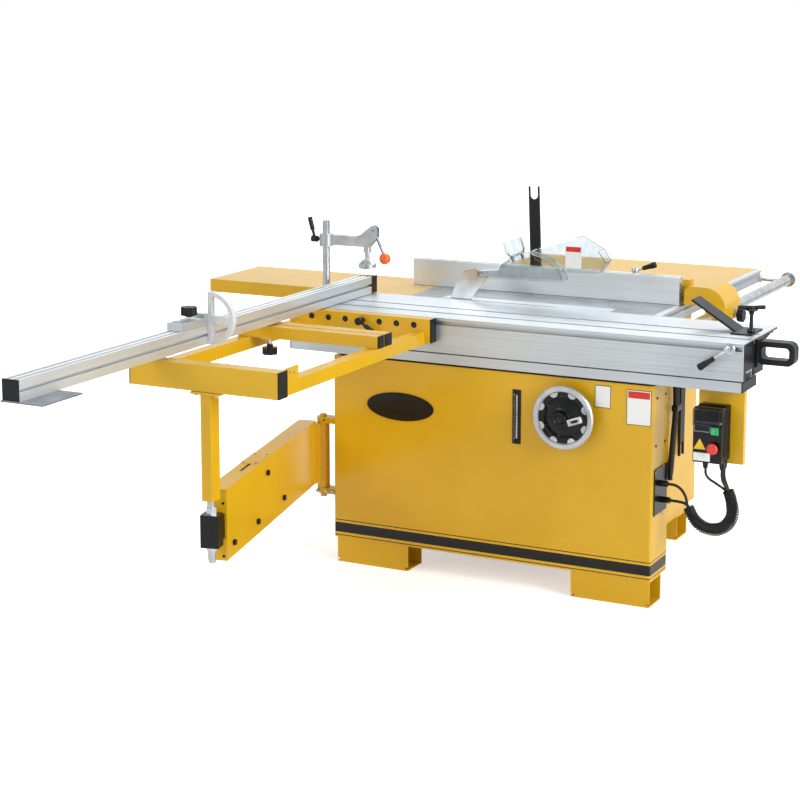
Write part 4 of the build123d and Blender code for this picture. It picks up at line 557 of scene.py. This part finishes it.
def handwheel():
    """Silver rim over a black dish, with a dark nut in its hub."""
    rim, dish = solids_of("handwheel")
    round_edges(rim, 0.0014, 3)
    keep(rim, "handwheel_rim", "handwheel_body", "wheel_silver", ("handwheel",))
    round_edges(dish, 0.0012)
    keep(dish, "handwheel_dish", "handwheel_body", "satin_black")
    hub = lathe([(0, 0.002), (0.006, 0.002), (0.0075, 0.0005), (0.0085, 0.0006), (0.0085, -0.002),
                 (0, -0.002)], spot(WHEEL_X, NUT_Y, WHEEL_Z), (0, -1, 0), 32)
    keep(hub, "handwheel_nut", "handwheel_body", "dark_steel")


def folding_grip():
    """Cast grip with an oval window, on a black arm that lies along the dish."""
    shell = block(spot(WHEEL_X + 40, -108, 595), spot(WHEEL_X + 90, -95, 617), 0.004, 3)
    window = block(spot(WHEEL_X + 52, -115, 601.5), spot(WHEEL_X + 80, -88, 610.5), 0.004, 3)
    cut(shell, window)
    round_edges(shell, 0.0007)
    arm = block(spot(WHEEL_X + 6, -106, 596), spot(WHEEL_X + 48, -97, 608), 0.003, 2)
    for piece in (shell, arm):
        edit_all(piece)
        bpy.ops.transform.rotate(value=CRANK_TURN, orient_axis="Y", center_override=CRANK_HINGE)
        object_mode()
    keep(shell, "crank_grip", "handwheel_crank_body", "wheel_silver", ("handwheel_crank",))
    keep(arm, "crank_arm", "handwheel_crank_body", "satin_black")


handwheel()
folding_grip()


# ---------------------------------------------------------------- levers, knobs and grips
def tapered_grip(start, end, thin, thick):
    """Moulded grip that swells towards its end."""
    start, end = Vector(start), Vector(end)
    length = (end - start).length
    outline = [(0, 0), (thin * 0.8, 0), (thin, length * 0.06), (thin * 1.05, length * 0.3),
               (thick, length * 0.85), (thick * 0.92, length * 0.96), (thick * 0.5, length), (0, length)]
    return lathe(outline, start, end - start, 32)


def lever_arm(start, end, radius, name, body):
    """Bright round bar of a lever."""
    keep(drum(start, end, radius, 0.0006, 28), name, body, "steel")


def table_lock():
    """Lock lever of the sliding table: a steel washer and rod, and a black grip."""
    hub = spot(823, -40, 872)
    end = spot(733, -38.5, 809)
    start = hub.lerp(end, 0.42)
    body = "table_lock_lever_body"
    grip = tapered_grip(start, end, 0.0075, 0.0115)
    keep(grip, "table_lock_grip", body, "nylon", ("table_lock_lever",))
    lever_arm(hub + (hub - end).normalized() * 0.008, start.lerp(end, 0.1), 0.0058, "table_lock_rod", body)
    washer = lathe([(0.007, 0), (0.017, 0), (0.019, 0.0015), (0.019, 0.005), (0.0165, 0.0075), (0.011, 0.008),
                    (0.009, 0.020), (0, 0.021)], spot(823, -11, 872), (0, -1, 0), 48)
    keep(washer, "table_lock_washer", body, "steel")
    lever_arm(spot(823, -14, 872), spot(823, -46, 872), 0.0075, "table_lock_stem", body)


def fence_lock():
    """Lock lever of the rip fence: a bright hub and a black grip."""
    hub = spot(270, 644, 989)
    end = spot(346, 644, 1015.5)
    body = "fence_lock_lever_body"
    grip = tapered_grip(hub.lerp(end, 0.36), end, 0.0078, 0.0112)
    keep(grip, "fence_lock_grip", body, "nylon", ("fence_lock_lever",))
    lever_arm(hub, hub.lerp(end, 0.45), 0.0052, "fence_lock_rod", body)
    post = lathe([(0, -0.0155), (0.011, -0.0155), (0.011, -0.008), (0.0132, -0.0065), (0.0135, 0.0075),
                  (0.0125, 0.0095), (0.006, 0.0105), (0, 0.0105)], hub, (0, 0, 1), 48)
    keep(post, "fence_lock_hub", body, "steel")


def knob_with_steel_stem(node, is_stem):
    """Lobed black head on a bright stem."""
    knob = softened(node, 0.0015, 2, "nylon")
    also_finish(knob, "steel", is_stem)


def cross_grip():
    """Edging shoe's screw: dark stem, flange boss and a cross of two tapered grips."""
    low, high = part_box("shoe_handle")
    middle = Vector(((low.x + high.x) / 2, (low.y + high.y) / 2, 0))
    body = "shoe_handle_body"
    top = high.z - 0.007
    stem = drum(middle + Z * (low.z + 0.001), middle + Z * (top - 0.02), 0.006, 0.0005, 28)
    keep(stem, "shoe_stem", body, "dark_steel", ("shoe_handle",))
    collar = lathe([(0, 0), (0.012, 0), (0.0125, 0.0012), (0.0125, 0.009), (0.0105, 0.012), (0.0065, 0.0125),
                    (0, 0.0125)], middle + Z * (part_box("edging_shoe")[0].z + 0.0056), (0, 0, 1), 40)
    keep(collar, "shoe_collar", body, "dark_steel")
    boss = lathe([(0, 0), (0.008, 0), (0.0085, 0.008), (0.019, 0.0125), (0.0195, 0.0155), (0.011, 0.019),
                  (0.0095, 0.027), (0, 0.0285)], middle + Z * (top - 0.022), (0, 0, 1), 48)
    keep(boss, "shoe_boss", body, "nylon")
    way = Vector((cos(radians(30)), sin(radians(30)), 0))
    arms = [tapered_grip(middle + Z * top, middle + Z * top + way * side * 0.044, 0.0058, 0.0072)
            for side in (-1, 1)]
    keep(joined(arms), "shoe_cross", body, "nylon")


def near(point, axis_point, radius):
    """Whether a point lies within radius of a vertical axis."""
    return (Vector((point.x, point.y)) - Vector((axis_point.x, axis_point.y))).length < radius


table_lock()
fence_lock()
cross_grip()
# steel parts of the knobs: radius of the clamp's stem and height of its washer, lengths of the stems
CLAMP_AXIS = (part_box("fence_clamp")[0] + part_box("fence_clamp")[1]) / 2
CLAMP_STEM, CLAMP_WASHER = 0.0075, 0.834
STOP_STEM, CARRIAGE_STEM = 0.009, 0.006
knob_with_steel_stem("fence_clamp",
                     lambda place: near(place, CLAMP_AXIS, CLAMP_STEM) or place.z > CLAMP_WASHER)
knob_with_steel_stem("stop_knob", lambda place: place.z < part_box("stop_knob")[0].z + STOP_STEM)
knob_with_steel_stem("carriage_knob", lambda place: place.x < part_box("carriage_knob")[0].x + CARRIAGE_STEM)


def cam_lever():
    """Orange ball under the steel rod of the hold-down's cam."""
    ball_height = 0.0405
    lever = softened("clamp_cam_lever", 0.0005, 1, "orange")
    ball_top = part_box("clamp_cam_lever")[0].z + ball_height
    # the bright steel rod takes the grey finish: painted shade, standing for its shaded side, which shows as
    # a dark line against the white backdrop
    also_finish(lever, "grey_steel", lambda place: place.z > ball_top)
    only(lever)
    bpy.ops.object.shade_smooth_by_angle(angle=radians(40))


cam_lever()


# ---------------------------------------------------------------- bolts and screws
def bolt(name, place, axis, radius, height, body, finish="satin_black"):
    """Screw head with a socket, standing on a surface."""
    way = Vector(axis).normalized()
    place = Vector(place)
    head = drum(place - way * 0.0005, place + way * height, radius, radius * 0.14, 24)
    socket = drum(place + way * height * 0.5, place + way * (height + 0.002), radius * 0.5, 0.0001, 6, 1)
    keep(cut(head, socket), name, body, finish)


# foot of the swing arm's hinge, the arm's turn from straight out, and its side, top and far end in
# millimetres from the hinge
PIVOT = spot(-640, 40, 0)
ARM_TURN = radians(12.98)
ARM_SIDE, ARM_TOP, ARM_END = -15.8, 490, 979.5
ALONG = Vector((sin(ARM_TURN), -cos(ARM_TURN), 0))
ACROSS = Vector((cos(ARM_TURN), sin(ARM_TURN), 0))


def on_arm(x, y, z):
    """Place in millimetres along the swing arm, across it and above the floor."""
    return PIVOT + ALONG * x / 1000 + ACROSS * y / 1000 + Z * z / 1000


for i, (x, z) in enumerate(((587, 443), (417, 316), (690, 311), (921, 310))):
    bolt(f"arm_bolt_{i}", on_arm(x, ARM_SIDE, z), ACROSS, 0.0095, 0.009, "swing_arm_body")
for i, (x, y) in enumerate(((543, -70), (543, -30), (659, -70), (659, -29))):
    bolt(f"arm_top_screw_{i}", on_arm(x, y, ARM_TOP), Z, 0.0042, 0.0018, "swing_arm_body")
for i, z in enumerate((446, 282)):
    bolt(f"arm_end_screw_{i}", on_arm(ARM_END, -27, z), ALONG, 0.0042, 0.0018, "swing_arm_body")
arm_plate = block((0.532, -0.079, 0.4895), (0.668, -0.021, 0.4912), 0.0006, 1)
arm_plate.matrix_world = Matrix.Translation(PIVOT) @ Matrix((ALONG, ACROSS, Z)).transposed().to_4x4()
keep(settle(arm_plate), "arm_cover_plate", "swing_arm_body", "gold")
for i, x in enumerate((-651, -617, -590)):
    bolt(f"hinge_bolt_{i}", spot(x, 18, 238), (0, -1, 0), 0.0065, 0.006, "frame", "steel")
bolt("hinge_bolt_3", spot(-625, 18, 490), (0, -1, 0), 0.0035, 0.002, "frame")
for i, (y, z) in enumerate(((-930, 872), (-904, 868))):
    bolt(f"corner_bolt_{i}", spot(-206, y, z), (1, 0, 0), 0.0045, 0.003, "table", "steel")
POST_LOW, POST_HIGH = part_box("support_post")
POST_AXIS = (POST_LOW + POST_HIGH) / 2
FLANGE_THICK = 0.008
for i, x in enumerate((-0.036, 0.036)):
    under = Vector((POST_AXIS.x + x, POST_AXIS.y - 0.018, POST_HIGH.z - FLANGE_THICK))
    bolt(f"post_bolt_{i}", under, (0, 0, -1), 0.0055, 0.005, "post_body", "steel")


# ---------------------------------------------------------------- switch, conduit and cables
def smooth_line(points, steps, radius=0.0):
    """Mesh of a smooth line through points: a round cable, or the bare line without a radius."""
    deselect()
    bpy.ops.curve.primitive_bezier_curve_add(radius=0.1, location=(0, 0, 0))
    obj = bpy.context.object
    obj.data.splines.clear()
    line = obj.data.splines.new("BEZIER")
    line.bezier_points.add(len(points) - 1)
    for knot, place in zip(line.bezier_points, points):
        knot.co = place
        knot.handle_left_type = knot.handle_right_type = "AUTO"
    obj.data.resolution_u = steps
    if radius:
        obj.data.bevel_depth = radius
        obj.data.bevel_resolution = 5
        obj.data.use_fill_caps = True
    only(obj)
    bpy.ops.object.convert(target="MESH")
    return bpy.context.object


def cable(places, radius, name):
    """Rubber cable on the frame along a smooth line through places in millimetres."""
    obj = settle(smooth_line([spot(*place) for place in places], 14, radius))
    edit_all(obj)
    bpy.ops.mesh.remove_doubles(threshold=MERGE)
    bpy.ops.mesh.normals_make_consistent(inside=False)
    object_mode()
    bpy.ops.object.shade_smooth_by_angle(angle=radians(40))
    keep(obj, name, "frame", "rubber")


def gland(place, axis, long):
    """Cable gland: hexagon foot and nut, and a domed cap that narrows to the cable."""
    way = Vector(axis).normalized()
    place = Vector(place)
    foot = drum(place, place + way * 0.006, 0.0099, 0.0006, 6)
    nut = drum(place + way * 0.0075, place + way * 0.017, 0.0094, 0.0008, 6)
    dome = lathe([(0, 0.005), (0.0082, 0.005), (0.0082, 0.017), (0.0085, 0.018), (0.0078, long - 0.004),
                  (0.0066, long - 0.0006), (0.0056, long), (0, long)], place, way, 32)
    return joined([foot, nut, dome])


BOX_LOW, BOX_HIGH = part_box("switch_box")
# in millimetres, as spot() takes them: middle, half-width, cover's face, underside and top; the glands'
# places across the box and from the front panel
BOX_X = ((BOX_LOW.x + BOX_HIGH.x) / 2 - ORIGIN.x) * 1000
BOX_HALF, BOX_FRONT, BOX_UNDER, BOX_TOP = 47, -30, 508, 684
BOX_GLANDS = ((35, 18), (35, 42), (-19, 18))


def switch_box():
    """Starter housing: ribbed body, two-part front cover, plates, sign, screws and three glands."""
    low, high = spot(BOX_X - BOX_HALF, BOX_FRONT, BOX_UNDER), spot(BOX_X + BOX_HALF, 60, BOX_TOP)
    body = block(low + Y * 0.007, high - Z * 0.001, 0.004, 3)
    ribs = [block(Vector((high.x - 0.001, low.y + 0.026 + 0.012 * i, low.z + 0.02)),
                  Vector((high.x + 0.0012, low.y + 0.029 + 0.012 * i, high.z - 0.03)), 0.0004, 1)
            for i in range(5)]
    seam = block(Vector((low.x - 0.0002, low.y + 0.0225, low.z - 0.0002)),
                 Vector((high.x + 0.0002, low.y + 0.0237, high.z + 0.001)), 0.0001, 1)
    body = cut(body, seam)
    cover = block(low, Vector((high.x, low.y + 0.0085, low.z + 0.122)), 0.0028, 3)
    brow = block(Vector((low.x + 0.004, low.y + 0.001, low.z + 0.125)),
                 Vector((high.x - 0.004, low.y + 0.0085, high.z - 0.006)), 0.0028, 3)
    notch = block(Vector((low.x + 0.034, low.y - 0.002, high.z - 0.032)),
                  Vector((high.x - 0.034, low.y + 0.005, high.z + 0.004)), 0.001, 1)
    brow = cut(brow, notch)
    glands = [gland(spot(BOX_X + x, y, BOX_UNDER), (0, 0, -1), 0.028) for x, y in BOX_GLANDS]
    keep(joined([body, cover, brow] + ribs + glands), "switch_housing", "frame", "satin_black",
         ("switch_box",))
    strip = block(spot(BOX_X - 46, -30.6, 634), spot(BOX_X + 46, -29.6, 641), 0.0003, 1)
    border = block(spot(BOX_X - 44, -30.8, 606), spot(BOX_X + 10, -29.6, 630), 0.0004, 1)
    keep(joined([strip, border]), "switch_plates", "frame", "grey_nylon")
    plate("switch_plate_face", (BOX_X - 41, -31.2, 609), (BOX_X + 7, -30.6, 627), 0.0003, "nylon")
    plate("switch_label", (BOX_X - 44, -30.9, 514), (BOX_X + 10, -29.7, 540), 0.0004, "white_plate")
    deselect()
    bpy.ops.mesh.primitive_cylinder_add(vertices=3, radius=0.023, depth=0.0014,
                                        location=spot(BOX_X - 24, -30.3, 562), rotation=(pi / 2, 0, 0))
    sign = settle(bpy.context.object)
    keep(round_edges(sign, 0.0009, 2), "switch_sign", "frame", "yellow_print")
    for i, (x, z) in enumerate(((-40, 676), (40, 676))):
        bolt(f"switch_screw_{i}", spot(BOX_X + x, -23, z), (0, -1, 0), 0.003, 0.0012, "frame", "steel")


def buttons():
    """Square green start key with a sunk face, and a domed red stop button."""
    x, z, half = BOX_X + 25, 613, 11.8
    key = block(spot(x - half, -38, z - half), spot(x + half, -29, z + half), 0.0012)
    pick_faces(key, lambda normal: normal.y < -0.9)
    bpy.ops.mesh.inset(thickness=0.003, depth=0)
    bpy.ops.mesh.inset(thickness=0.0008, depth=-0.0008)
    object_mode()
    keep(key, "start_key", body_of("start_button"), "green", ("start_button",))
    head = lathe([(0, -0.001), (0.0098, -0.001), (0.0098, 0.009), (0.012, 0.010), (0.0168, 0.0115),
                  (0.018, 0.0135), (0.0178, 0.0165), (0.0158, 0.0192), (0.0115, 0.0212), (0.006, 0.0219),
                  (0, 0.022)], spot(BOX_X + 21, BOX_FRONT, 558), (0, -1, 0), 56)
    keep(head, "stop_head", body_of("stop_button"), "red", ("stop_button",))


RING_PITCH = 0.0062
# share of the way from the cabinet's side to the box's gland, then depth and height in millimetres
CONDUIT_LINE = ((0.4375, 76, 330), (0.5446, 70, 292), (0.75, 61, 271), (1.0, 50, 284), (1.1384, 41, 330),
                (1.1161, 34, 388), (1.0804, 31, 412))


def conduit():
    """Corrugated plastic hose round the cables."""
    side = (CABINET_HIGH.x - CABINET_LOW.x) / 2 * 1000
    reach = BOX_X + BOX_GLANDS[0][0] - side
    points = [spot(side + share * reach, y, z) for share, y, z in CONDUIT_LINE]
    sleeve = copy_of("conduit")
    round_edges(sleeve, 0.0004, 1)
    path = [v.co.copy() for v in smooth_line(points, 24).data.vertices]
    bpy.ops.object.delete()
    ring = lathe([(0.0164, -0.0022), (0.018, -0.0014), (0.019, -0.0005), (0.019, 0.0005),
                  (0.018, 0.0014), (0.0164, 0.0022)], (0, 0, 0), (0, 0, 1), 28)
    rings, gone, last = [], 0.0, path[0]
    for a, b in zip(path, path[1:]):
        gone += (b - a).length
        if gone >= RING_PITCH:
            along = (b - last).to_track_quat("Z", "Y").to_matrix().to_4x4()
            rings.append(copied(ring, Matrix.Translation(b) @ along))
            gone, last = 0.0, b
    only(ring)
    bpy.ops.object.delete()
    keep(joined([sleeve] + rings), "corrugated_hose", "frame", "nylon", ("conduit",))


def side_cables():
    """Cables clipped up the cabinet's side to just under the beam, and the switch's third cable."""
    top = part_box("slide_beam")[0].z * 1000 - 3
    cable([(586, 176, top), (586, 184, 624), (586, 164, 520), (586, 149, 440), (586, 146, 392)], 0.0085,
          "riser_cable")
    cable([(586, 204, top), (586, 205, 640), (586, 190, 560), (586, 172, 480), (586, 160, 410)], 0.0062,
          "riser_cable_2")
    clip = block(spot(576.4, 170, 613), spot(598, 216, 633), 0.004, 3)
    keep(clip, "riser_clip", "frame", "satin_black")
    cable([(BOX_X - 19, 18, 481), (BOX_X - 15, 19, 456), (BOX_X + 18, 25, 430), (BOX_X + 44, 30, 412),
           (BOX_X + 52, 31, 398)], 0.0042, "switch_cable_3")


def cabinet_glands():
    """Screwed plate with the glands that the cables leave the cabinet by."""
    softened("cable_fittings", 0.0008, 2, "satin_black")
    for i, (y, z) in enumerate(((66, 400), (90, 340))):
        place = spot(580.2, y, z)
        piece = gland(place, (1, 0, 0), 0.0276)
        edit_all(piece)
        bpy.ops.transform.resize(value=(1, 1.12, 1.12), center_override=place)
        object_mode()
        keep(piece, f"cabinet_gland_{i}", "frame", "satin_black")
    for i, (y, z) in enumerate(((97, 450), (24, 442), (97, 294), (26, 300))):
        bolt(f"plate_screw_{i}", spot(580, y, z), (1, 0, 0), 0.0036, 0.0016, "frame", "steel")
    for i, (y, z) in enumerate(((36, 683), (117, 682), (32, 528), (117, 527))):
        bolt(f"side_screw_{i}", spot(576, y, z), (1, 0, 0), 0.0046, 0.002, "frame")


switch_box()
buttons()
conduit()
side_cables()
cabinet_glands()


# ---------------------------------------------------------------- fence ends and hole plugs
# row of holes in the channel's web: first hole, spacing and height in millimetres; how deep the web
# lies in the channel, in metres
PLUG_START, PLUG_PITCH, PLUG_HEIGHT = -632, 64.5, 866
WEB_DEPTH = 0.040


def fence_ends():
    """Black caps on the crosscut fence and the grey steel plate under its far end."""
    caps = []
    for piece in solids_of("crosscut_fence_ends"):
        round_edges(piece, 0.0008)
        if piece.dimensions.z < 0.01:
            keep(piece, "crosscut_foot_plate", body_of("crosscut_fence_ends"), "grey_steel")
        else:
            caps.append(piece)
    keep(joined(caps), "crosscut_caps", body_of("crosscut_fence_ends"), "nylon",
         ("crosscut_fence_ends",))


def hole_plugs():
    """Black plugs in the row of seven holes along the outrigger's channel, but for the middle one."""
    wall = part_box("outrigger_frame")[1].y - WEB_DEPTH
    for i in (0, 1, 2, 4, 5, 6):
        place = spot(PLUG_START + PLUG_PITCH * i, 0, PLUG_HEIGHT)
        place.y = wall
        plug = lathe([(0, 0.003), (0.0104, 0.003), (0.0104, -0.0002), (0.0088, -0.0012), (0.0075, -0.0002),
                      (0, 0.0004)], place, (0, 1, 0), 32)
        keep(plug, f"channel_plug_{i}", "table", "nylon")


fence_ends()
hole_plugs()


# ---------------------------------------------------------------- table ends and guard
def bright_lips():
    """Bright edges of the extrusion, standing round the black cap on each end of the table."""
    low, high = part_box("sliding_table")
    caps_low, caps_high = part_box("table_end_caps")
    proud = 0.0004
    for side, a, b in (("left", caps_low.x - proud, low.x), ("right", high.x, caps_high.x + proud)):
        top = block((a, low.y, high.z - 0.0032), (b, high.y, high.z + 0.0002), 0.0004, 1)
        face = block((a, low.y - 0.0002, low.z), (b, low.y + 0.003, high.z), 0.0004, 1)
        webs = [low.y + part * (high.y - low.y) for part in (0.3, 0.42, 0.76, 0.86)]
        slots = [block((a, y, high.z - 0.016), (b, y + 0.0022, high.z), 0.0003, 1) for y in webs]
        keep(joined([top, face] + slots), "table_lip_" + side, body_of("table_end_caps"), "aluminium_y")


def guard_fittings():
    """Guard's two fixing screws and its bare warning plate."""
    body = body_of("guard_hood")
    for i, (x, z) in enumerate(((-76, 1038), (119, 1027))):
        bolt(f"guard_screw_{i}", spot(x, 338.5, z), (0, -1, 0), 0.0055, 0.003, body, "steel")
    plate("guard_plate", (132, 337.7, 1030), (190, 338.4, 1105), 0.0003, "white_plate", body=body)
    plate("guard_plate_band", (134, 337.2, 1086), (188, 337.8, 1103), 0.0002, "red_print", body=body)


bright_lips()
guard_fittings()


# ---------------------------------------------------------------- front panel
def oval(place, depth, half_wide, half_high):
    """Oval disc that faces the front."""
    deselect()
    bpy.ops.mesh.primitive_cylinder_add(vertices=96, radius=1, depth=depth, location=place,
                                        rotation=(pi / 2, 0, 0))
    disc = bpy.context.object
    disc.scale = (half_wide, half_high, 1)
    return settle(disc)


def badge():
    """Oval badge: a raised black rim round a bare black face."""
    centre = spot(-320, 0, 572)
    rim = oval(centre - Y * 0.002, 0.004, 0.125, 0.048)
    pick_faces(rim, lambda normal: normal.y < -0.9)
    bpy.ops.mesh.inset(thickness=0.006, depth=0)
    bpy.ops.mesh.inset(thickness=0.001, depth=-0.0015)
    object_mode()
    round_edges(rim, 0.0008)
    face = round_edges(oval(centre - Y * 0.0035, 0.002, 0.119, 0.0415), 0.0006)
    keep(rim, "badge_rim", "frame", "satin_black")
    keep(face, "badge_face", "frame", "satin_black")


def height_scale():
    """Black bezel round the height window, with white division lines, a bright strip and a pointer."""
    bezel = block(spot(92, -3, 491), spot(122, 0, 673), 0.0015)
    slot = block(spot(103, -5, 506), spot(111, 2, 658), 0.0001, 1)
    keep(cut(bezel, slot), "height_scale_bezel", "frame", "nylon")
    ticks = []
    for i in range(21):
        z = 508 + 7.4 * i
        reach = 6.5 if i % 5 == 0 else 4
        ticks.append(block(spot(102 - reach, -3.4, z), spot(102, -2.9, z + 1.1), 0.0001, 1))
    keep(joined(ticks), "height_scale_lines", "frame", "white_plate")
    plate("height_scale_strip", (105, -1.4, 509), (110, -0.6, 655), 0.0003, "wheel_silver")
    plate("height_pointer", (104, -2.5, 588), (110, -1, 591), 0.0003, "red")


def label(name, low, high):
    """Bare printed plate on a thin black backing."""
    grow = Vector((0.0018, 0, 0.0018))
    back = block(low - grow + Y * 0.0004, high + grow, 0.0004, 1)
    keep(back, name + "_backing", "frame", "nylon")
    keep(block(low, high + Y * 0.0001, 0.0004, 1), name, "frame", "white_plate")


badge()
height_scale()
label("turning_plate", spot(381, -1.6, 644), spot(431, -0.2, 713))
label("cabinet_plate", spot(489, -1.6, 599), spot(568, -0.2, 709))
plate("cabinet_plate_band", (492, -2, 684), (565, -1.5, 706), 0.0002, "red_print")


# ---------------------------------------------------------------- lamps, backdrop and end
softbox("softbox_right", (6.0, -1.6, 3.0), (0, 0, 0.6), (3.0, 3.0), 262)
softbox("softbox_front_left", (-3.0, -6.0, 3.4), (0, 0, 0.6), (3.5, 2.5), 100)
softbox("softbox_top_back", (-0.5, 3.0, 4.5), (0, 0, 0.8), (4.5, 2.5), 138)


def seen_as_backdrop(tree):
    """Two sockets: 1 for what the camera sees directly or through the guard, and 1 for a reflection."""
    rays = add(tree, "ShaderNodeLightPath").outputs
    seen = add(tree, "ShaderNodeMath", {0: rays["Is Camera Ray"], 1: rays["Is Transmission Ray"]},
               operation="MAXIMUM")
    return seen.outputs[0], rays["Is Glossy Ray"]


def set_world():
    """Plain pale surroundings that the camera sees as white, with a darker wall behind the camera."""
    world = bpy.data.worlds.new("pale_studio")
    bpy.context.scene.world = world
    world.use_nodes = True
    tree = world.node_tree
    tree.nodes.clear()
    seen, shine = seen_as_backdrop(tree)
    way = add(tree, "ShaderNodeSeparateXYZ", {"Vector": add(tree, "ShaderNodeTexCoord").outputs["Generated"]})
    wall = add(tree, "ShaderNodeMapRange", {"Value": way.outputs["Y"], "From Min": -0.6, "From Max": 0.3,
                                            "To Min": 0.5, "To Max": 0.95}).outputs["Result"]
    dim = add(tree, "ShaderNodeBackground", {"Color": (0.93, 0.96, 1.0, 1), "Strength": 0.5})
    room = add(tree, "ShaderNodeBackground", {"Color": (0.95, 0.98, 1.0, 1), "Strength": wall})
    white = add(tree, "ShaderNodeBackground", {"Color": (1, 1, 1, 1), "Strength": 1.0})
    lit = add(tree, "ShaderNodeMixShader", {0: shine, 1: dim.outputs[0], 2: room.outputs[0]})
    mix = add(tree, "ShaderNodeMixShader", {0: seen, 1: lit.outputs[0], 2: white.outputs[0]})
    add(tree, "ShaderNodeOutputWorld", {"Surface": mix.outputs[0]})


def set_floor():
    """White painted floor: it keeps the machine's shadow and fades into the surroundings."""
    deselect()
    bpy.ops.mesh.primitive_plane_add(size=60, location=(0, 0, 0))
    floor = bpy.context.object
    floor.name = "floor"
    material, tree, shader = new_finish("white_studio_floor", Roughness=0.9, Base_Color=linear("#F6F6F6"))
    seen, _ = seen_as_backdrop(tree)
    place = add(tree, "ShaderNodeTexCoord").outputs["Object"]
    far = add(tree, "ShaderNodeVectorMath", {0: place}, operation="LENGTH")
    glow = add(tree, "ShaderNodeMapRange", {"Value": far.outputs["Value"], "From Min": 1.2, "From Max": 4.0,
                                            "To Min": 0.5, "To Max": 1.0})
    level = add(tree, "ShaderNodeMath", {0: glow.outputs["Result"], 1: seen}, operation="MULTIPLY")
    tree.links.new(level.outputs[0], shader.inputs["Emission Strength"])
    shader.inputs["Emission Color"].default_value = (1, 1, 1, 1)
    floor.data.materials.append(material)


set_world()
set_floor()
bpy.context.scene.view_settings.view_transform = "Standard"
